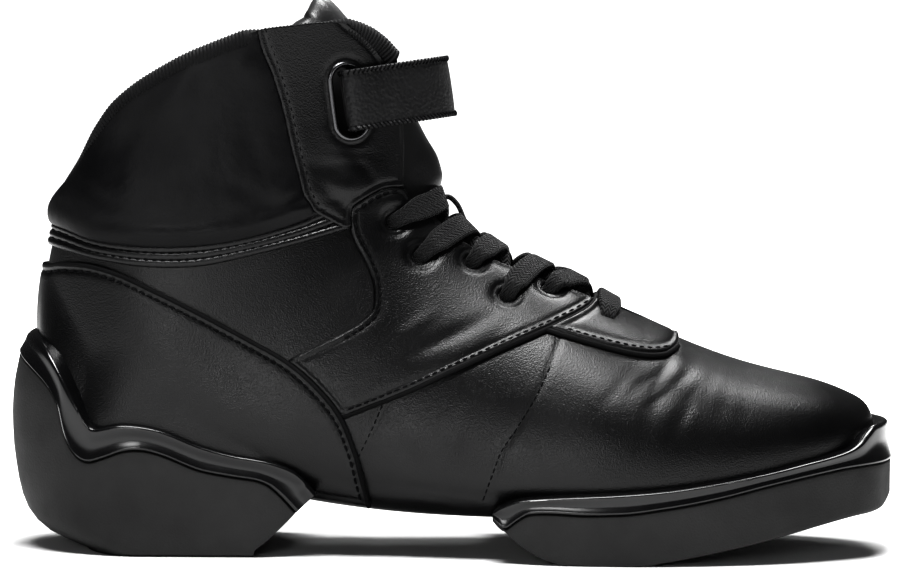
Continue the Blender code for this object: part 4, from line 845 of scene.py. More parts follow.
def build_stitches(thread):
    """Every visible row of stitches."""
    rows = [
        # line, inset to its left, height, x from, x to, both in shares of UPPER_LENGTH
        (seam(COUNTER_TOP), -0.0026, 0.0017, 0.015, 0.40),
        (band_line(0.31), 0.0, 0.0011, 0.01, 0.37),
        (band_line(0.69), 0.0, 0.0011, 0.01, 0.37),
        (seam(FLAP_BACK[1:]), 0.0026, 0.0015, 0.0, 0.34),
        (seam(EYESTAY_LOW[:-1]), 0.0011, 0.0014, 0.375, 0.655),
        (seam(SADDLE_LOW[:-1]), 0.0012, 0.0013, 0.62, 0.75),
        (seam(EYESTAY_BACK[1:]), -0.0016, 0.0014, 0.35, 0.42),
        (seam(TAB_TOP[1:-2]), -0.0016, 0.0014, 0.37, 0.43),
    ]
    parts = []
    for side in (-1, 1):
        for line, inset, height, first, last in rows:
            shown = line[(line[:, 0] > first * UPPER_LENGTH) & (line[:, 0] < last * UPPER_LENGTH)]
            parts.append(stitch_row(shown, side, height, inset))
        for table in (VAMP_SEAM[1:], QUARTER_SEAM):
            parts.append(stitch_row(seam(table), side, 0.0001, length=0.0016, pitch=0.0024, thread=0.00022))
    add("seam_stitches", *joined(parts), thread, (), "black_leather")


# Sole units, as in the CAD
SOLE_MARGIN = 0.0032
TOE_REACH = 0.0026
TOE_LEAN = 0.0020
HEEL_BACK = 0.0085
HEEL_HALF_WIDTH = 0.0388
HEEL_WIDEST_AT = 0.036
HEEL_FRONT_AT = 0.098
HEEL_FRONT_HALF_WIDTH = 0.0365
HEEL_POWER = 2.25
CUP_MARGIN = 0.0046
CUP_LIMIT = 0.012
CUP_FADE = 0.026
HEEL_LEVELS = [
    # height, back_inset, side_inset
    (0.000, 0.500, 0.026), (0.004, 0.400, 0.012), (0.011, 0.300, 0.006), (0.023, 0.205, 0.003),
    (0.048, 0.115, 0.001), (0.090, 0.055, 0.000), (0.150, 0.024, 0.000), (0.210, 0.008, 0.000),
    (0.265, 0.004, 0.000), (0.315, 0.013, 0.003), (0.365, 0.034, 0.012), (0.398, 0.066, 0.028),
    (0.418, 0.120, 0.055),
]
HEEL_FRONT = [(0.262, -0.030), (0.266, 0.013), (0.281, 0.032), (0.301, 0.063), (0.314, 0.085), (0.350, 0.140)]
HEEL_GROOVE = [
    (-0.060, 0.420), (-0.022, 0.372), (0.016, 0.323), (0.033, 0.283), (0.040, 0.237), (0.048, 0.205),
    (0.059, 0.184), (0.072, 0.176), (0.090, 0.184), (0.113, 0.197), (0.136, 0.199), (0.162, 0.188),
    (0.201, 0.163), (0.240, 0.151), (0.273, 0.142), (0.292, 0.122), (0.314, 0.085),
]
HEEL_RAND_TOP = [
    (-0.060, 0.416), (-0.004, 0.414), (0.008, 0.404), (0.023, 0.379), (0.042, 0.330), (0.057, 0.287),
    (0.069, 0.253), (0.079, 0.240), (0.107, 0.247), (0.134, 0.245), (0.162, 0.235), (0.201, 0.210),
    (0.239, 0.193), (0.279, 0.182), (0.310, 0.165), (0.328, 0.139), (0.340, 0.118),
]
FOREFOOT_BACK_STATION = 9.6
FOREFOOT_FLOOR = [
    (0.540, 0.085), (0.557, 0.060), (0.578, 0.031), (0.606, 0.008), (0.628, 0.000), (0.708, 0.000),
    (0.745, 0.008), (0.803, 0.025), (0.864, 0.046), (0.920, 0.067), (0.966, 0.082), (1.004, 0.091),
    (1.020, 0.110),
]
FOREFOOT_GROOVE = [
    (0.540, 0.090), (0.557, 0.066), (0.571, 0.081), (0.586, 0.094), (0.608, 0.096), (0.648, 0.094),
    (0.691, 0.096), (0.740, 0.106), (0.802, 0.124), (0.863, 0.147), (0.924, 0.166), (0.963, 0.175),
    (0.994, 0.178), (1.030, 0.179),
]
FOREFOOT_RAND_TOP = [
    (0.540, 0.094), (0.556, 0.110), (0.577, 0.121), (0.617, 0.127), (0.679, 0.133), (0.740, 0.141),
    (0.802, 0.155), (0.864, 0.173), (0.910, 0.189), (0.943, 0.200), (0.963, 0.210), (0.975, 0.222),
    (0.984, 0.238), (0.995, 0.251), (1.030, 0.254),
]


def crossing_tree():
    """The last's outer form as a tree for rays."""
    rows, columns = 150, 160
    s, a = np.meshgrid(np.linspace(0.02, LAST_STATION, rows), np.linspace(-1, 1, columns), indexing="ij")
    points = surface(s, a).reshape(-1, 3).tolist()
    return BVHTree.FromPolygons(points, grid_faces(rows, columns))


def heel_plan(heights, turns):
    """Plan of the heel unit: x and y for heights, in shares, by turns. A turn runs from 0 at the lateral
    front corner round the heel, between 0.3 and 0.7, to 1 at the medial front corner."""
    levels = np.array(HEEL_LEVELS)
    back, side = graph(levels[:, :2])(heights), graph(levels[:, [0, 2]])(heights)
    width = 2 * HEEL_HALF_WIDTH
    half = HEEL_HALF_WIDTH - side * width
    ends = HEEL_FRONT_HALF_WIDTH - side * width
    reach = np.maximum(HEEL_WIDEST_AT + HEEL_BACK - back * width, 0.02)
    profile = np.array(HEEL_FRONT)
    front = np.interp(heights, profile[:, 1], profile[:, 0]) * UPPER_LENGTH
    turn = np.clip((turns - 0.3) / 0.4, 0, 1) * math.pi
    x = HEEL_WIDEST_AT - reach * np.sin(turn) ** (2 / HEEL_POWER)
    y = -half * np.sign(np.cos(turn)) * np.abs(np.cos(turn)) ** (2 / HEEL_POWER)
    early, late = np.clip((0.3 - turns) / 0.3, 0, 1), np.clip((turns - 0.7) / 0.3, 0, 1)
    run = early + late
    x = x + (front - HEEL_WIDEST_AT) * run
    taper = half + (ends - half) * run * (front - HEEL_WIDEST_AT) / (HEEL_FRONT_AT - HEEL_WIDEST_AT)
    y = np.where(run > 0, np.where(turns < 0.5, -taper, taper), y)
    return x, y


def outward(x, y):
    """Outward plan directions of closed or open loops, along the last axis."""
    dx, dy = np.gradient(x, axis=-1), np.gradient(y, axis=-1)
    size = np.maximum(np.hypot(dx, dy), 1e-9)
    return dy / size, -dx / size


def sole_rows(profile, low, high):
    """Heights and outward pushes of a sole band: rows of share, rise and push, the last two in
    millimetres."""
    data = np.array(profile)
    heights = low + data[:, :1] * (high - low) + data[:, 1:2] * 1e-3
    return heights, np.repeat(data[:, 2:3] * 1e-3, len(low), axis=1)


BLOCK_PROFILE = [
    # share of the band's height, rise, push
    (0, 0.00, -1.00), (0, 0.12, -0.55), (0, 0.40, -0.20), (0, 0.90, 0.00), (0.04, 0.85, 0.00),
    (0.08, 0.80, 0.00), (0.13, 0.70, 0.00), (0.19, 0.60, 0.00), (0.26, 0.50, 0.00), (0.34, 0.40, 0.00),
    (0.43, 0.30, 0.00), (0.52, 0.15, 0.00), (0.61, 0.00, 0.00), (0.70, -0.10, 0.00), (0.79, -0.20, 0.00),
    (0.88, -0.30, 0.00), (1, -0.75, 0.00), (1, -0.40, -0.10), (1, -0.15, -0.45), (1, -0.05, -1.10),
]
RAND_PROFILE = [
    (0, 0.02, -1.10), (0, 0.10, -0.10), (0, 0.35, 0.35), (0, 0.75, 0.50), (0, 1.10, 0.38), (0.26, 0.80, 0.12),
    (0.42, 0.50, 0.10), (0.58, 0.25, 0.30), (0.74, 0.00, 0.68), (0.88, -0.15, 0.86), (1, -0.70, 0.88),
    (1, -0.38, 0.68), (1, -0.14, 0.34), (1, -0.02, -0.15),
]


FIRST_HEIGHT = 0.12
SETTLING_STEPS = 40
SETTLING_SHARE = 0.4


def settled(plan, line, turns):
    """Heights of a line given by x, at the x that the plan has at those heights."""
    x, _ = plan(np.full(turns.shape, FIRST_HEIGHT), turns)
    for _ in range(SETTLING_STEPS):
        x = (1 - SETTLING_SHARE) * x + SETTLING_SHARE * plan(line(x, turns) / COLLAR_HEIGHT, turns)[0]
    return line(x, turns)


def band_points(plan, turns, low_line, high_line, profile, way_round=1):
    """Grid of a sole band. plan gives x and y for heights and turns; low_line and high_line give heights by
    x. way_round is 1 for a plan that runs round the toe, and -1 for one that runs round the heel."""
    high = settled(plan, high_line, turns)
    low = np.minimum(settled(plan, low_line, turns), high - 1e-4)
    heights, push = sole_rows(profile, low, high)
    x, y = plan(heights / COLLAR_HEIGHT, np.broadcast_to(turns, heights.shape))
    out_x, out_y = (way_round * part for part in outward(x, y))
    return np.stack([x + out_x * push, y + out_y * push, heights], -1), np.stack([out_x, out_y], -1)


LIP_ROWS = 4
LIP_SINK = 0.0006
LIP_START = 0.002
LIP_LIMIT = 0.012
LIP_UNMET = 0.004
LIP_RISE = 0.12
LIP_FALL_AT_TOE = 0.50


def lip_points(grid, directions, tree):
    """Rows that lead from a band's top edge inward to the last, with a rise, or a fall at the toe."""
    top, way = grid[-1], directions[-1]
    ends = []
    for point, out in zip(top, way):
        at_toe = float(smoothstep(0.945, 0.99, point[0] / UPPER_LENGTH))
        inward = Vector((-out[0], -out[1], LIP_RISE - LIP_FALL_AT_TOE * at_toe)).normalized()
        hit, _, _, distance = tree.ray_cast(Vector(point) - inward * LIP_START, inward, 0.03)
        length = min(distance - LIP_START + LIP_SINK, LIP_LIMIT) if hit else LIP_UNMET
        ends.append(point + np.array(inward) * length)
    ends = np.array(ends)
    return np.array([top + (ends - top) * k / LIP_ROWS for k in range(1, LIP_ROWS + 1)])


def heel_turns():
    """Turns round the heel unit, a little closer together round the heel itself."""
    side = np.linspace(0, 0.3, 120)
    return np.concatenate([side, np.linspace(0.3, 0.7, 180)[1:-1], np.linspace(0.7, 1, 120)])


def build_heel_unit(rubber, gloss, tread, tree):
    """The heel's block and the wavy band above it."""
    turns = heel_turns()
    groove, top = seam(HEEL_GROOVE, 6), seam(HEEL_RAND_TOP, 6)

    def floor(x, _):
        return np.zeros_like(x)

    def groove_line(x, _):
        return np.interp(x, groove[:, 0], groove[:, 1])

    def top_edge(x, _):
        return np.interp(x, top[:, 0], top[:, 1])

    block, _ = band_points(heel_plan, turns, floor, groove_line, BLOCK_PROFILE, way_round=-1)
    rand, way = band_points(heel_plan, turns, groove_line, top_edge, RAND_PROFILE, way_round=-1)
    rand = np.concatenate([rand, lip_points(rand, way, tree)])
    sole_piece("heel_block", block, rubber, tread, ("heel_outsole",), "black_matte_rubber")
    sole_piece("heel_wave_band", rand, gloss, None, ("heel_rand",), "black_gloss_rubber")


def forefoot_plan_lines():
    """Plan line of the forefoot unit, from its lateral back corner round the toe."""
    stations = np.concatenate([np.linspace(FOREFOOT_BACK_STATION, 1.0, 130), np.linspace(1.0, 0.0, 40)[1:]])
    lateral, medial = surface(stations, -0.5)[:, :2], surface(stations, 0.5)[:-1, :2]
    line = np.concatenate([lateral, medial[::-1]])
    out = np.stack(outward(line[:, 0], line[:, 1]), 1)
    line = line + out * SOLE_MARGIN
    line[:, 0] += TOE_REACH * smoothstep(0.93, 1.0, line[:, 0] / UPPER_LENGTH)
    return line[line[:, 0] > 0.541 * UPPER_LENGTH]


def build_forefoot_unit(rubber, gloss, tread, tree):
    """The forefoot's block and the band above it."""
    line = forefoot_plan_lines()
    turns = np.linspace(0, 1, len(line))

    def plan(heights, turn):
        x, y = np.interp(turn, turns, line[:, 0]), np.interp(turn, turns, line[:, 1])
        return x - TOE_LEAN * smoothstep(0.175, 0.250, heights) * smoothstep(0.95, 1.0, x / UPPER_LENGTH), y

    def height_line(table):
        curve = graph(table)
        return lambda x, _: curve(x / UPPER_LENGTH) * COLLAR_HEIGHT

    floor, groove, top = (height_line(t) for t in (FOREFOOT_FLOOR, FOREFOOT_GROOVE, FOREFOOT_RAND_TOP))
    block, _ = band_points(plan, turns, floor, groove, BLOCK_PROFILE)
    rand, way = band_points(plan, turns, groove, top, RAND_PROFILE)
    rand = np.concatenate([rand, lip_points(rand, way, tree)])
    sole_piece("forefoot_block", block, rubber, tread, ("forefoot_outsole",), "black_matte_rubber")
    sole_piece("forefoot_band", rand, gloss, None, ("forefoot_rand",), "black_gloss_rubber")


def sole_piece(name, grid, finish, tread, replaced, slot_name):
    """A sole band; with a tread finish it is closed below by a plate and at its ends by walls."""
    rows, columns = grid.shape[:2]
    points = grid.reshape(-1, 3)
    faces = grid_faces(rows, columns)
    plate = []
    if tread is not None:
        half = columns // 2
        across = np.linspace(0, 1, 13)[None, :, None]
        left, right = grid[0, :half], grid[0, ::-1][:half]
        sheet = left[:, None] + (right - left)[:, None] * across
        plate = grid_faces(half, 13, offset=len(points))
        points = np.concatenate([points, sheet.reshape(-1, 3)])
        wall = grid[:, 0][:, None] + (grid[:, -1] - grid[:, 0])[:, None] * across
        faces += grid_faces(rows, 13, offset=len(points))
        points = np.concatenate([points, wall.reshape(-1, 3)])
        roof = grid[-1, :half][:, None] + (grid[-1, ::-1][:half] - grid[-1, :half])[:, None] * across
        faces += grid_faces(half, 13, offset=len(points))
        points = np.concatenate([points, roof.reshape(-1, 3)])
    made = add(name, points, faces + plate, finish, replaced, slot_name)
    if plate:
        made.data.materials.append(tread)
        marks = np.zeros(len(made.data.polygons), int)
        marks[len(faces):] = 1
        made.data.polygons.foreach_set("material_index", marks)
    work = bmesh.new()
    work.from_mesh(made.data)
    bmesh.ops.remove_doubles(work, verts=work.verts, dist=1e-5)
    bmesh.ops.recalc_face_normals(work, faces=work.faces)
    work.to_mesh(made.data)
    work.free()
    made.data.set_sharp_from_angle(angle=math.radians(50))
    return made


# Tongue, laces and strap, as in the CAD
TONGUE_GAP = 0.0012
TONGUE_THICKNESS = 0.0050
TONGUE_ROLL = 0.0034
TONGUE_HALF_WIDTH = 0.027
TONGUE_NARROWING = 0.11
TONGUE_START = 5.9
TONGUE_TOP = [(0.0, 1.000), (0.3, 0.992), (0.6, 0.962), (0.8, 0.925), (0.93, 0.870), (1.0, 0.810)]
TONGUE_LEAN = [
    # station, back, up
    (7.0, 0.000, 0.000), (12.0, 0.004, 0.000), (13.5, 0.006, 0.008), (15.0, 0.013, 0.014),
    (16.0, 0.026, 0.028), (17.0, 0.054, 0.064), (18.0, 0.097, 0.112),
]
TONGUE_RISE = 0.0105
TONGUE_PUFF = [
    # station, extra fullness in thicknesses
    (5.0, 0.0), (11.6, 0.0), (12.4, 0.7), (12.9, 1.08), (13.5, 1.06), (14.4, 0.80), (15.4, 0.55),
    (16.3, 0.25), (18.0, 0.0),
]
STRAP_WIDTH = 0.0195
STRAP_THICKNESS = 0.0019
STRAP_TILT = math.radians(9.0)
STRAP_RUN = [
    # around, from_slot, distance
    (0.325, 0, 1.95), (0.280, 0, 1.95), (0.200, 0, 2.05), (0.120, 0, 2.45), (0.050, 0, 2.90),
    (0.000, 0, 2.95), (-0.050, 0, 2.35), (-0.098, 0, 0.20), (-0.128, 0, -1.95), (-0.165, 0, -2.50),
    (0.044, 1, -2.60), (0.020, 1, -2.50), (0.007, 1, -1.85), (0.003, 1, 0.00), (0.002, 1, 1.20),
    (-0.006, 1, 2.10), (0.002, 1, 2.85), (0.022, 1, 3.10), (0.055, 1, 2.95), (-0.155, 0, 2.90),
    (-0.100, 0, 3.35), (-0.050, 0, 4.05), (0.000, 0, 4.30), (0.050, 0, 4.25), (0.120, 0, 3.80),
    (0.200, 0, 3.45), (0.260, 0, 3.35), (0.300, 0, 3.35),
]
LACE_WIDTH = 0.0080
LACE_THICKNESS = 0.0021
LACE_PINCH = 0.36
LOOP_WIDTH = 0.0050
LOOP_THICKNESS = 0.0016
LACE_RISE = {1: 0.0030, 2: 0.0022, 3: 0.0010, 4: -0.0004, 5: -0.0014}


def around_at(station, across):
    """The value of around on the front half of the section at this signed distance from its middle."""
    station, across = np.broadcast_arrays(np.asarray(station, float), np.asarray(across, float))
    widths, top = section(station.ravel())[2:5:2]
    flat = across.ravel()
    half = np.where(flat < 0, widths[:, 0], widths[:, 1])
    share = np.clip(np.abs(flat) / np.maximum(half, 1e-6), 0, 1)
    return (np.sign(flat) * np.arcsin(share ** (top / 2)) / math.pi).reshape(station.shape)


def ribbon(path, side, out, shape, widths, thicknesses):
    """Loops of a cross-section, given in half widths and half thicknesses, along a path."""
    shape = np.array(shape)
    loops = path[:, None] + side[:, None] * shape[None, :, :1] * widths[:, None, None] / 2
    return loops + out[:, None] * shape[None, :, 1:2] * thicknesses[:, None, None] / 2


def flat_shape(edge=0.28, sides=9, across=7):
    """A flat section with round edges, in half widths and half thicknesses."""
    turn = np.linspace(-math.pi / 2, math.pi / 2, sides)
    right = np.stack([1 - edge + edge * np.cos(turn), np.sin(turn)], 1)
    top = np.stack([np.linspace(1 - edge, edge - 1, across + 2)[1:-1], np.ones(across)], 1)
    return np.concatenate([right, top, -right, -top])


def capped_tube(loops):
    """Points and faces of loops joined into a tube with fan caps."""
    count, sides = loops.shape[:2]
    points = np.concatenate([loops.reshape(-1, 3), [loops[0].mean(0), loops[-1].mean(0)]])
    faces = grid_faces(count, sides, closed=True)
    for m in range(sides):
        n = (m + 1) % sides
        faces.append([count * sides, m, n])
        faces.append([count * sides + 1, (count - 1) * sides + n, (count - 1) * sides + m])
    return points, faces


def headings(path):
    """Unit directions along a path."""
    way = np.gradient(path, axis=0)
    return way / np.linalg.norm(way, axis=1, keepdims=True)


def round_tube(path, out, radius, sides, squash=1.0):
    """Points and faces of a round cord along a path; squash flattens it in the outward direction."""
    way = headings(path)
    across = np.cross(way, out)
    across /= np.linalg.norm(across, axis=1, keepdims=True)
    turn = np.linspace(0, 2 * math.pi, sides, endpoint=False)
    shape = np.stack([np.cos(turn), np.sin(turn)], 1)
    size = np.full(len(path), 2 * radius)
    return capped_tube(ribbon(path, across, np.cross(across, way), shape, size, size * squash))


def joined(parts):
    """Several (points, faces) as one."""
    points, faces, start = [], [], 0
    for part in parts:
        points.append(part[0])
        faces += [[v + start for v in f] for f in part[1]]
        start += len(part[0])
    return np.concatenate(points), faces


def settle_normals(made):
    """Turns a piece's faces outward."""
    work = bmesh.new()
    work.from_mesh(made.data)
    bmesh.ops.recalc_face_normals(work, faces=work.faces)
    work.to_mesh(made.data)
    work.free()


def tongue_grid(rows=110, columns=61):
    """Middle sheet, outward directions and thickness of the tongue."""
    across = np.sin(np.linspace(-1, 1, columns) * math.pi / 2)
    lean, top = graph([(r[0], r[1]) for r in TONGUE_LEAN]), graph(TONGUE_TOP)
    lift = graph([(r[0], r[2]) for r in TONGUE_LEAN])
    share = np.sin(np.linspace(0, 1, rows) * math.pi / 2) * 0.4 + np.linspace(0, 1, rows) * 0.6
    trial = np.linspace(14.0, LAST_STATION, 120)
    narrow = 1 - TONGUE_NARROWING * smoothstep(0.78, 1.0, share)
    stations = np.empty((rows, columns))
    for j, place in enumerate(across):
        heights = surface(trial, around_at(trial, place * narrow[-1] * TONGUE_HALF_WIDTH))[:, 2]
        reach = top(abs(place)) * COLLAR_HEIGHT + TONGUE_RISE - lift(LAST_STATION) * COLLAR_HEIGHT
        last = np.interp(reach, heights, trial)
        stations[:, j] = TONGUE_START + (last - TONGUE_START) * share
    middle = TONGUE_START + (LAST_STATION - TONGUE_START) * share[:, None]
    shift = np.zeros((rows, columns, 3))
    shift[..., 0] = -lean(middle) * UPPER_LENGTH
    shift[..., 2] = lift(middle) * COLLAR_HEIGHT
    around = around_at(stations, across * narrow[:, None] * TONGUE_HALF_WIDTH)
    soft = 0.45 + 0.55 * np.sqrt(1 - np.abs(across) ** 6)[None, :] * np.ones((rows, 1))
    roll = TONGUE_ROLL * np.exp(-((share - 0.955) / 0.035) ** 2)[:, None] * np.sqrt(1 - np.abs(across) ** 4)
    thickness = TONGUE_THICKNESS * soft + roll
    puff = graph(TONGUE_PUFF)(stations) * TONGUE_THICKNESS * np.exp(-(across / 0.36) ** 2)
    out = normal(stations, around)
    outer = surface(stations, around) + out * (puff - WALL - TONGUE_GAP)[..., None] + shift
    return outer, out, thickness, share, across


def build_tongue(finish):
    """The padded tongue: a front and a back sheet that meet in a round rim."""
    outer, out, thickness, share, across = tongue_grid()
    rim = np.minimum((1 - np.abs(across))[None, :] * TONGUE_HALF_WIDTH, (1 - share)[:, None] * 0.13)
    roundness = np.sqrt(1 - (1 - np.clip(rim / 0.0028, 0, 1)) ** 2)
    middle = outer - out * (thickness / 2)[..., None]
    front = middle + out * (thickness / 2 * roundness)[..., None]
    back = middle - out * (thickness / 2 * roundness)[..., None]
    rows, columns = front.shape[:2]
    points = np.concatenate([front.reshape(-1, 3), back.reshape(-1, 3)])
    total = rows * columns
    faces = grid_faces(rows, columns) + [f[::-1] for f in grid_faces(rows, columns, offset=total)]
    ring = list(range(columns))
    faces += [[a, b, b + total, a + total] for a, b in zip(ring[1:], ring[:-1])]
    made = add("tongue_padded", points, faces, finish, ("tongue",), "black_smooth_padding", weld=1e-5)
    settle_normals(made)
    return made


def lace_path(start, end, top, middle, count=90):
    """Stations, places across and rise of one strand from under one eyelet to inside the next."""
    length = np.linalg.norm(surface(start[0], around_at(start[0], start[1]))
                            - surface(end[0], around_at(end[0], end[1])))
    opening = float(THROAT_OPENING((start[0] * 0.8 + end[0] * 0.2))) * BALL_WIDTH
    out_at = (abs(start[1]) - opening) / (abs(start[1]) + abs(end[1]))
    crossing = abs(start[1]) / (abs(start[1]) + abs(end[1]))
    dive = 0.0028 / length
    rise = graph([
        (0.0, -0.0030), (out_at, -0.0028), (out_at + 0.0045 / length, min(-0.0012, middle - 0.0008)),
        (crossing, middle if top else middle - 0.0012), (crossing + 0.12, middle * 0.6 + 0.0010),
        (0.82, 0.0029), (1 - dive * 1.1, 0.0030), (1 - dive * 0.4, 0.0016), (1.0, -0.0016), (1.02, -0.0030),
    ])
    t = np.concatenate([np.linspace(0, 0.75, count // 2)[:-1], np.linspace(0.75, 1.02, count // 2)])
    width = LACE_WIDTH * (1 - LACE_PINCH * smoothstep(1 - dive * 1.9, 1 - dive * 0.2, t))
    return start[0] + (end[0] - start[0]) * t, start[1] + (end[1] - start[1]) * t, rise(t), width


def lace_ribbon(stations, across, rise, width):
    """Points, faces and UV of one flat strand of lace over the last."""
    around = around_at(stations, across)
    out = normal(stations, around)
    path = surface(stations, around) + out * rise[:, None]
    way = headings(path)
    side = np.cross(way, out)
    side /= np.linalg.norm(side, axis=1, keepdims=True)
    thickness = np.full(len(path), LACE_THICKNESS) * (LACE_WIDTH / width) ** 0.7
    shape = flat_shape()
    tube = capped_tube(ribbon(path, side, np.cross(side, way), shape, width, thickness))
    return tube + (woven_uv(path, shape),)


def woven_uv(path, shape):
    """A pair for each point of a ribbon's tube: length along it in metres, and place across it from 0 to
    1."""
    run = np.concatenate([[0], np.cumsum(np.linalg.norm(np.diff(path, axis=0), axis=1))])
    across = 0.5 + 0.5 * np.array(shape)[:, 0]
    pairs = np.stack([np.repeat(run, len(across)), np.tile(across, len(run))], 1)
    return np.concatenate([pairs, [[0, 0.5], [run[-1], 0.5]]])


def build_laces(finish):
    """The bar at the toe end, and a crossing from each pair of eyelets to the next one up."""
    holes = []
    for k in range(len(EYELETS)):
        pair = []
        for side in (1, -1):
            station, around = HOLES[side][k]
            centre = section(np.array([station]))[2][0, 2]
            pair.append((station, float(surface(station, around)[1] - centre)))
        holes.append(pair)
    (sm, ym), (sl, yl) = holes[-1]
    t = np.linspace(-0.02, 1.02, 60)
    dive = 0.12
    to_end = np.minimum(t, 1 - t)
    depth = np.interp(to_end, [-0.02, 0.0, dive * 0.4, dive, 0.5], [-0.0024, -0.001, 0.0014, 0.0024, 0.0026])
    width = LACE_WIDTH * (1 - LACE_PINCH * smoothstep(dive * 2, dive * 0.3, to_end))
    parts = [lace_ribbon(sm + (sl - sm) * t, ym + (yl - ym) * t, depth, width)]
    add("lace_bar_woven", *parts[0][:2], finish, ("lace_bar",), "black_webbing", uv=parts[0][2])
    for k in range(len(holes) - 1, 0, -1):
        number = len(holes) - k
        over = number % 2 == 0
        strands = [lace_ribbon(*lace_path(holes[k][0], holes[k - 1][1], over, LACE_RISE[number])),
                   lace_ribbon(*lace_path(holes[k][1], holes[k - 1][0], not over, LACE_RISE[number]))]
        lengths = np.concatenate([strand[2] for strand in strands])
        add("lace_%d_woven" % number, *joined(strands), finish, ("lace_%d" % number,), "black_webbing",
            uv=lengths)


LACE_LOOP = [
    # x share, z share, place across in millimetres
    (0.470, 0.650, 6.0), (0.478, 0.664, 7.0), (0.489, 0.669, 7.5), (0.499, 0.655, 7.5), (0.505, 0.636, 7.0),
    (0.509, 0.618, 6.0), (0.508, 0.600, 5.0),
]


def build_lace_loop(finish):
    """The slack turn of lace that shows behind the top crossing."""
    rows = [(x * UPPER_LENGTH, y * 1e-3, z * COLLAR_HEIGHT) for x, z, y in LACE_LOOP]
    path = smooth_rows(rows, 8)
    side = np.repeat([[0.0, 1.0, 0.0]], len(path), 0)
    size = np.ones(len(path))
    shape = flat_shape()
    out = np.cross(side, headings(path))
    loops = ribbon(path, side, out, shape, size * LOOP_WIDTH, size * LOOP_THICKNESS)
    add("lace_slack_turn", *capped_tube(loops), finish, (), "black_webbing", uv=woven_uv(path, shape))


def strap_plane():
    """A point of the plane of the strap's middle line, and the direction across the strap."""
    x, z = SLOT_CENTRE[0] * UPPER_LENGTH, SLOT_CENTRE[1] * COLLAR_HEIGHT
    return np.array([x, 0.0, z]), np.array([-math.sin(STRAP_TILT), 0.0, math.cos(STRAP_TILT)])


def strap_path():
    """The strap's middle line in 3-D, in the strap's tilted plane."""
    origin, wide = strap_plane()
    slot_around = place_on(*SLOT_CENTRE, -1)[1]
    line = []
    for around, from_slot, distance in STRAP_RUN:
        around = slot_around + around if from_slot else around
        low, high = 11.0, LAST_STATION + 0.8
        for _ in range(30):
            middle = (low + high) / 2
            point = surface(middle, around) + normal(middle, around) * distance * STRAP_THICKNESS
            low, high = (low, middle) if np.dot(point - origin, wide) > 0 else (middle, high)
        line.append(point)
    return smooth_rows(line, 8)


STRAP_EDGE = [
    # place across in half widths, height in half thicknesses: an edge rolled over on both sides
    (1.00, 0.0), (0.995, 0.8), (0.965, 1.30), (0.925, 1.35), (0.89, 1.05), (0.86, 0.80), (0.80, 0.86),
    (0.5, 1.0), (0.2, 1.05),
]


def build_strap(finish, thread):
    """The strap: one ribbon with rolled edges, overcast with thread along both."""
    path = resampled(strap_path(), 0.0012)
    wide = strap_plane()[1]
    way = np.gradient(path, axis=0)
    way -= np.outer(way @ wide, wide)
    way /= np.linalg.norm(way, axis=1, keepdims=True)
    across = np.cross(way, wide)
    side = np.repeat(wide[None], len(path), 0)
    size = np.ones(len(path))
    half = STRAP_EDGE + [(-x, y) for x, y in STRAP_EDGE[:0:-1]]
    shape = half + [(-x, -y) for x, y in half]
    loops = ribbon(path, side, across, shape, size * STRAP_WIDTH, size * STRAP_THICKNESS)
    made = add("strap_webbing", *capped_tube(loops), finish, ("strap",), "black_webbing",
               uv=woven_uv(path, shape))
    settle_normals(made)
    run = resampled(path, 0.0015)
    parts = []
    for edge in (-1, 1):
        for k, middle in enumerate(run[1:-1], 1):
            ahead = run[k + 1] - run[k - 1]
            ahead -= wide * (ahead @ wide)
            ahead /= np.linalg.norm(ahead)
            out = np.cross(ahead, wide)
            for face in (-1, 1):
                turn = np.linspace(0, 1, 5)[:, None]
                start = middle + edge * wide * STRAP_WIDTH * 0.418 + face * out * STRAP_THICKNESS * 0.42
                end = (middle + ahead * 0.0010 + edge * wide * STRAP_WIDTH * 0.500
                       + face * out * STRAP_THICKNESS * 0.50)
                arch = np.sin(turn * math.pi) * face * out * 0.00042
                parts.append(round_tube(start + (end - start) * turn + arch, out, 0.00026, 6))
    add("strap_overcast", *joined(parts), thread, (), "black_webbing")
    return made



def oval_loop(length, width, count=96):
    """Places along an oval with straight sides, as lengths forward and up."""
    turn = np.linspace(0, 2 * math.pi, count, endpoint=False)
    wide = np.cos(turn) * width / 2
    tall = np.sin(turn) * width / 2 + np.clip(np.sin(turn) * 6, -1, 1) * (length - width) / 2
    cosine, sine = math.cos(SLOT_LEAN), math.sin(SLOT_LEAN)
    return np.stack([wide * cosine - tall * sine, wide * sine + tall * cosine], 1)


def build_ring(metal):
    """The oval metal ring of the strap slot: a rounded flange, and a sleeve through the leather."""
    middle, _, forward, up = frame_at(place_on(*SLOT_CENTRE, -1))
    seat = 0.0017
    profile = [
        # growth over the slot's size, height over the last
        (-0.0022, -WALL - 0.0002), (-0.0014, -WALL - 0.0003), (-0.0014, 0.0), (-0.0012, seat + 0.0004),
        (-0.0006, seat + 0.0008), (0.0002, seat + 0.0010), (0.0010, seat + 0.0010), (0.0018, seat + 0.0007),
        (0.0023, seat + 0.0002), (0.0024, seat - 0.0003), (0.0021, seat - 0.0005),
    ]
    loops = []
    for grow, level in profile:
        flat = middle + oval_loop(SLOT_LENGTH + grow, SLOT_WIDTH + grow) @ np.stack([forward, up])
        s, a = on_last(flat[:, [0, 2]], -1)
        loops.append(surface(s, a) + normal(s, a) * level)
    loops = np.array(loops)
    made = add("strap_ring_metal", loops.reshape(-1, 3), grid_faces(*loops.shape[:2], closed=True), metal,
               ("strap_ring",), "dark_nickel")
    settle_normals(made)
    return made


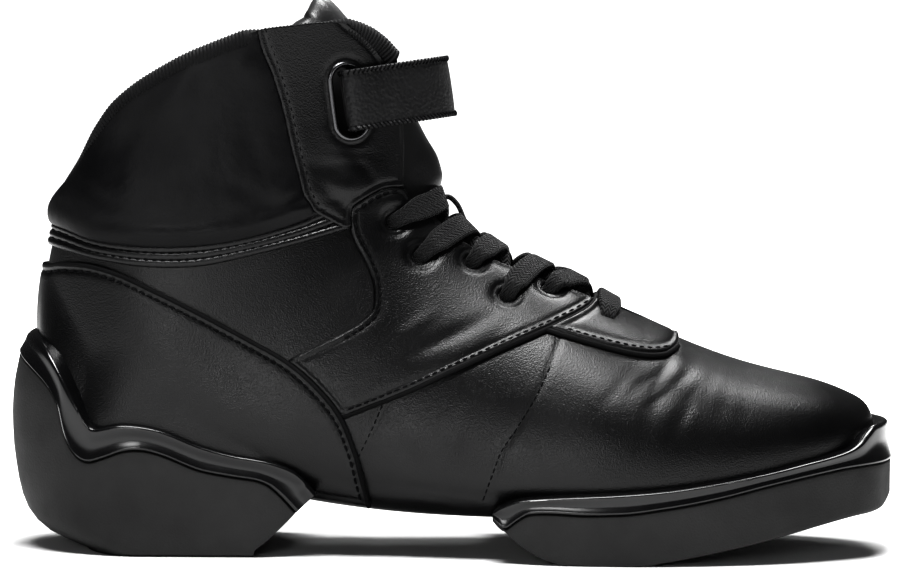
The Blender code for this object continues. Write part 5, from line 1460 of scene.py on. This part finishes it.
def build_insole(finish):
    """The removable sock: a thin sheet over the last's bottom."""
    rows = np.linspace(1.2, 13.2, 130)
    across = np.sin(np.linspace(-1, 1, 41) * math.pi / 2) * 0.86
    stations = np.repeat(rows[:, None], len(across), axis=1)
    bottom = section(rows)[5][:, None]
    around = np.where(across < 0, -1, 1) * (1 - np.arcsin(np.abs(across) ** (bottom / 2)) / math.pi)
    top = surface(stations, around) - normal(stations, around) * (WALL + 0.0008) + (0, 0, 0.003)
    points = np.concatenate([top.reshape(-1, 3), (top - (0, 0, 0.0028)).reshape(-1, 3)])
    total = top.shape[0] * top.shape[1]
    faces = grid_faces(*top.shape[:2]) + [f[::-1] for f in grid_faces(*top.shape[:2], offset=total)]
    made = add("insole_sock", points, faces, finish, ("insole",), "grey_sock_lining")
    settle_normals(made)
    return made


RIB_PITCH = 0.0012
BINDING_FORM = [
    # x share, half height, half width, outward shift, rise over the edge, all but the first in millimetres
    (-0.05, 1.6, 1.5, 0.5, 1.3), (0.05, 1.9, 1.8, 0.7, 1.3), (0.15, 2.5, 2.3, 0.8, 1.3),
    (0.250, 3.0, 2.5, 0.8, 1.3), (0.268, 2.6, 2.0, -0.7, -0.2), (0.345, 2.6, 2.0, -0.7, -0.2),
    (0.370, 3.6, 2.3, 0.5, 1.3), (0.400, 4.4, 2.4, 0.6, 1.3), (0.430, 3.8, 2.3, 0.5, 1.3),
    (0.450, 2.6, 2.0, 0.2, 1.3),
]


def build_binding(finish):
    """The ribbed binding folded over the collar's edge; the flap covers part of it."""
    edge = float(throat_edge(LAST_STATION)[0])
    trial = np.concatenate([np.linspace(-edge, -1, 700), np.linspace(1, edge, 700)[1:]])
    line = surface(LAST_STATION, trial)
    run = np.concatenate([[0], np.cumsum(np.linalg.norm(np.diff(line, axis=0), axis=1))])
    steps = np.arange(0, run[-1], RIB_PITCH / 5)
    around = np.interp(steps, run, np.where(trial < 0, trial, trial - 2))
    around = np.where(around < -1, around + 2, around)
    rim = surface(LAST_STATION, around)
    out = normal(LAST_STATION, around)
    up = np.cross(out, headings(rim))
    up *= np.sign(np.sum(up * (rim - surface(LAST_STATION - 0.1, around)), axis=1))[:, None]
    form = np.array(BINDING_FORM)
    tall, wide, shift, rise = (np.interp(rim[:, 0] / UPPER_LENGTH, form[:, 0], form[:, k])[:, None] * 1e-3
                               for k in (1, 2, 3, 4))
    turn = np.linspace(0, 2 * math.pi, 30, endpoint=False)
    lean = steps[:, None] / RIB_PITCH + 0.5 * np.sin(turn)[None, :]
    rib = 1 + 0.17 * np.abs(np.sin(math.pi * lean))[..., None]
    centre = rim + out * (shift - WALL / 2) - up * (tall - rise)
    loops = centre[:, None] + rib * (out[:, None] * (np.cos(turn) * wide)[..., None]
                                     + up[:, None] * (np.sin(turn) * tall)[..., None])
    made = add("collar_binding_ribbed", *capped_tube(loops), finish, ("collar_binding",), "black_ribbed_tape")
    settle_normals(made)
    return made


def build_material(name, colour, roughness, layers=(), sheen=0.0, metallic=0.0, colour_change=0.25,
                   rough_change=0.12, specular=0.5):
    """A material. Each layer of grain is a texture, its scale per metre and its height in millimetres."""
    made = bpy.data.materials.new(name)
    made.use_nodes = True
    nodes, links = made.node_tree.nodes, made.node_tree.links
    shader = nodes["Principled BSDF"]
    shader.inputs["Metallic"].default_value = metallic
    shader.inputs["Sheen Weight"].default_value = sheen
    shader.inputs["Sheen Roughness"].default_value = 0.5
    shader.inputs["Specular IOR Level"].default_value = specular
    place = nodes.new("ShaderNodeTexCoord")

    def sums(operation, *values):
        made_node = nodes.new("ShaderNodeMath")
        made_node.operation = operation
        for socket, value in zip(made_node.inputs, values):
            if isinstance(value, (int, float)):
                socket.default_value = value
            else:
                links.new(value, socket)
        return made_node.outputs[0]

    def weave(pitch, bands):
        """Slanting ribs that turn back and forth across a ribbon, like a flat braid."""
        split = nodes.new("ShaderNodeSeparateXYZ")
        links.new(place.outputs["UV"], split.inputs[0])
        turns = sums("PINGPONG", sums("MULTIPLY", split.outputs[1], float(bands)), 1.0)
        ribs = sums("ADD", sums("MULTIPLY", split.outputs[0], 1 / pitch), sums("MULTIPLY", turns, 1.2))
        along = sums("SINE", sums("MULTIPLY", ribs, 2 * math.pi))
        across = sums("SINE", sums("MULTIPLY", split.outputs[1], 2 * math.pi * bands * 3))
        return sums("ADD", sums("MULTIPLY", along, 0.35), sums("MULTIPLY", across, 0.15))

    def texture(kind, scale):
        if kind == "weave":
            return weave(*scale)
        made_node = nodes.new("ShaderNodeTexNoise" if kind == "noise" else "ShaderNodeTexVoronoi")
        made_node.inputs["Scale"].default_value = scale
        if kind == "noise":
            made_node.inputs["Detail"].default_value = 4
        elif kind == "cells":
            made_node.feature = "DISTANCE_TO_EDGE"
        else:
            made_node.feature = "SMOOTH_F1"
        links.new(place.outputs["Object"], made_node.inputs["Vector"])
        return made_node.outputs["Fac"] if kind == "noise" else made_node.outputs["Distance"]

    def mapped(value, low, high):
        ramp = nodes.new("ShaderNodeMapRange")
        ramp.inputs["From Min"].default_value = 0.3
        ramp.inputs["From Max"].default_value = 0.7
        ramp.inputs["To Min"].default_value = low
        ramp.inputs["To Max"].default_value = high
        links.new(value, ramp.inputs["Value"])
        return ramp.outputs["Result"]

    blotch = texture("noise", 45)
    links.new(mapped(blotch, roughness - rough_change, roughness + rough_change), shader.inputs["Roughness"])
    mix = nodes.new("ShaderNodeMix")
    mix.data_type = "RGBA"
    mix.inputs[6].default_value = (*[c * (1 - colour_change) for c in colour], 1)
    mix.inputs[7].default_value = (*[c * (1 + colour_change) for c in colour], 1)
    links.new(texture("noise", 160), mix.inputs[0])
    links.new(mix.outputs[2], shader.inputs["Base Color"])
    before = None
    for kind, scale, height in layers:
        bump = nodes.new("ShaderNodeBump")
        bump.inputs["Distance"].default_value = height * 1e-3
        bump.inputs["Strength"].default_value = 1.0
        links.new(texture(kind, scale), bump.inputs["Height"])
        if before is not None:
            links.new(before, bump.inputs["Normal"])
        before = bump.outputs["Normal"]
    if before is not None:
        links.new(before, shader.inputs["Normal"])
    return made


CAMERA_DISTANCE = 1.25
CAMERA_HEIGHT = 0.150
AIM_HEIGHT = 0.0840
CAMERA_LENS = 153.84
CAMERA_ROLL = math.radians(0.55)


def aimed(place, aim):
    """A placement at one point that looks at another."""
    way = Vector(aim) - Vector(place)
    return Matrix.Translation(place) @ way.to_track_quat("-Z", "Y").to_matrix().to_4x4()


def build_camera():
    """The photograph's view: a long lens from the lateral side, a little above the shoe."""
    data = bpy.data.cameras.new("camera")
    data.sensor_width = 36
    data.lens = CAMERA_LENS
    camera = bpy.data.objects.new("camera", data)
    stand = aimed((0.0, SHIFT[1] - CAMERA_DISTANCE, CAMERA_HEIGHT), (0.0, SHIFT[1], AIM_HEIGHT))
    camera.matrix_world = stand @ Matrix.Rotation(CAMERA_ROLL, 4, "Z")
    bpy.context.scene.collection.objects.link(camera)
    bpy.context.scene.camera = camera


def build_light(name, place, aim, size, power):
    """A soft rectangular lamp that the camera does not see."""
    data = bpy.data.lights.new(name, "AREA")
    data.shape = "RECTANGLE"
    data.size, data.size_y = size
    data.energy = power
    made = bpy.data.objects.new(name, data)
    made.matrix_world = aimed(place, aim)
    made.visible_camera = False
    bpy.context.scene.collection.objects.link(made)


def build_studio():
    """A pale floor with a painted glow, which rises from nothing near the shoe to nearly white far from it
    and is weaker as a source of light, and soft lights.
    """
    mesh = bpy.data.meshes.new("studio_floor")
    mesh.from_pydata([(-6, -6, 0), (6, -6, 0), (6, 6, 0), (-6, 6, 0)], [], [(0, 1, 2, 3)])
    floor_with_glow = bpy.data.materials.new("pale_floor_painted_glow")
    floor_with_glow.use_nodes = True
    nodes, links = floor_with_glow.node_tree.nodes, floor_with_glow.node_tree.links
    shader = nodes["Principled BSDF"]
    shader.inputs["Base Color"].default_value = (0.90, 0.90, 0.90, 1)
    shader.inputs["Roughness"].default_value = 0.8
    shader.inputs["Specular IOR Level"].default_value = 0.1
    shader.inputs["Emission Color"].default_value = (1, 1, 1, 1)
    # Painted light: the floor glows more with distance from its middle under the shoe, from 0 within 0.18 m
    # to 0.95 beyond 0.75 m.
    place, away = nodes.new("ShaderNodeTexCoord"), nodes.new("ShaderNodeVectorMath")
    away.operation = "LENGTH"
    ramp = nodes.new("ShaderNodeMapRange")
    ramp.interpolation_type = "SMOOTHSTEP"
    for name, value in (("From Min", 0.18), ("From Max", 0.75), ("To Min", 0.0), ("To Max", 0.95)):
        ramp.inputs[name].default_value = value
    links.new(place.outputs["Object"], away.inputs[0])
    links.new(away.outputs["Value"], ramp.inputs["Value"])
    # Painted light: the glow is full for camera rays, and 0.35 of that where it lights the shoe.
    seen = nodes.new("ShaderNodeLightPath")
    share = nodes.new("ShaderNodeMapRange")
    glow = nodes.new("ShaderNodeMath")
    share.inputs["To Min"].default_value = 0.35
    glow.operation = "MULTIPLY"
    links.new(seen.outputs["Is Camera Ray"], share.inputs["Value"])
    links.new(ramp.outputs["Result"], glow.inputs[0])
    links.new(share.outputs["Result"], glow.inputs[1])
    links.new(glow.outputs[0], shader.inputs["Emission Strength"])
    mesh.materials.append(floor_with_glow)
    floor = bpy.data.objects.new("studio_floor", mesh)
    bpy.context.scene.collection.objects.link(floor)
    build_world()
    build_light("overhead", (0.20, 0.55, 1.35), (0.0, 0.0, 0.05), (0.8, 0.5), 17)
    build_light("behind", (0.20, 1.3, 0.95), (0.05, 0.0, 0.05), (0.32, 0.4), 3)
    build_light("above", (-0.10, -0.45, 1.35), (0.0, 0.0, 0.05), (0.7, 0.4), 21)
    build_light("front", (-0.34, -1.6, 0.35), (0.0, 0.0, 0.08), (0.32, 0.3), 3.4)
    bpy.context.scene.view_settings.view_transform = "Standard"
    bpy.context.scene.view_settings.look = "High Contrast"


def build_world():
    """White where the camera looks past the floor, dim as a source of light."""
    world = bpy.data.worlds.new("studio_world")
    world.use_nodes = True
    nodes, links = world.node_tree.nodes, world.node_tree.links
    dim = nodes["Background"]
    dim.inputs["Color"].default_value = (1, 1, 1, 1)
    dim.inputs["Strength"].default_value = 0.05
    white = nodes.new("ShaderNodeBackground")
    white.inputs["Strength"].default_value = 1.0
    white.inputs["Color"].default_value = (1, 1, 1, 1)
    path, mix = nodes.new("ShaderNodeLightPath"), nodes.new("ShaderNodeMixShader")
    links.new(path.outputs["Is Camera Ray"], mix.inputs[0])
    links.new(dim.outputs[0], mix.inputs[1])
    links.new(white.outputs[0], mix.inputs[2])
    links.new(mix.outputs[0], nodes["World Output"].inputs["Surface"])
    bpy.context.scene.world = world


def main():
    """Builds the materials, the pieces and the studio."""
    build_camera()
    leather = build_material("fine_grain_leather", (0.0038, 0.0038, 0.0041), 0.33,
                             [("bumps", 2600, 0.07), ("noise", 1800, 0.06), ("noise", 300, 0.04)],
                             rough_change=0.05, specular=0.42)
    lining = build_material("soft_lining", (0.030, 0.030, 0.031), 0.85, [("noise", 2500, 0.06)], sheen=0.3)
    padding = build_material("soft_padding", (0.0045, 0.0045, 0.005), 0.46,
                             [("bumps", 2500, 0.02), ("noise", 120, 0.35)], specular=0.22)
    # The tongue's padding has a lighter colour than the collar's padding: a painted highlight over the whole
    # tongue.
    tongue_lightened_padding = build_material("tongue_padding_painted_highlight", (0.012, 0.012, 0.0125), 0.36,
                                 [("bumps", 2500, 0.03), ("noise", 150, 0.3)], specular=0.55, sheen=0.15)
    ribbed = build_material("ribbed_tape", (0.005, 0.005, 0.0055), 0.72, [("noise", 3500, 0.05)], sheen=0.05,
                            specular=0.25)
    webbing = build_material("flat_braid", (0.0055, 0.0055, 0.006), 0.7, [("weave", (0.0017, 5), 0.8),
                             ("noise", 3500, 0.08)], sheen=0.06, specular=0.3)
    strapping = build_material("coarse_strap", (0.0045, 0.0045, 0.005), 0.5, [("bumps", 900, 0.28),
                               ("noise", 1500, 0.12)], sheen=0.05, specular=0.4)
    thread = build_material("black_thread", (0.004, 0.004, 0.0045), 0.75, [("noise", 6000, 0.03)],
                            specular=0.15)
    cord = build_material("matte_edge_cord", (0.0035, 0.0035, 0.0038), 0.75, [("noise", 2500, 0.12)],
                          specular=0.2)
    metal = build_material("polished_dark_nickel", (0.120, 0.120, 0.124), 0.26, metallic=1.0,
                           colour_change=0.05, rough_change=0.04)
    rubber = build_material("matte_rubber", (0.016, 0.016, 0.016), 0.62,
                            [("bumps", 1600, 0.08), ("noise", 1800, 0.05)], specular=0.45)
    gloss = build_material("gloss_rubber", (0.006, 0.006, 0.0065), 0.20, [("noise", 400, 0.01)],
                           rough_change=0.03, specular=0.6)
    tread = build_material("tread_rubber", (0.009, 0.009, 0.009), 0.7, [("cells", 400, 0.4)])
    build_upper(leather)
    build_lining(lining)
    build_panels(leather, padding, cord)
    build_stitches(thread)
    tree = crossing_tree()
    build_heel_unit(rubber, gloss, tread, tree)
    build_forefoot_unit(rubber, gloss, tread, tree)
    build_tongue(tongue_lightened_padding)
    build_laces(webbing)
    build_lace_loop(webbing)
    build_strap(strapping, thread)
    build_ring(metal)
    build_insole(lining)
    build_binding(ribbed)
    build_studio()


main()
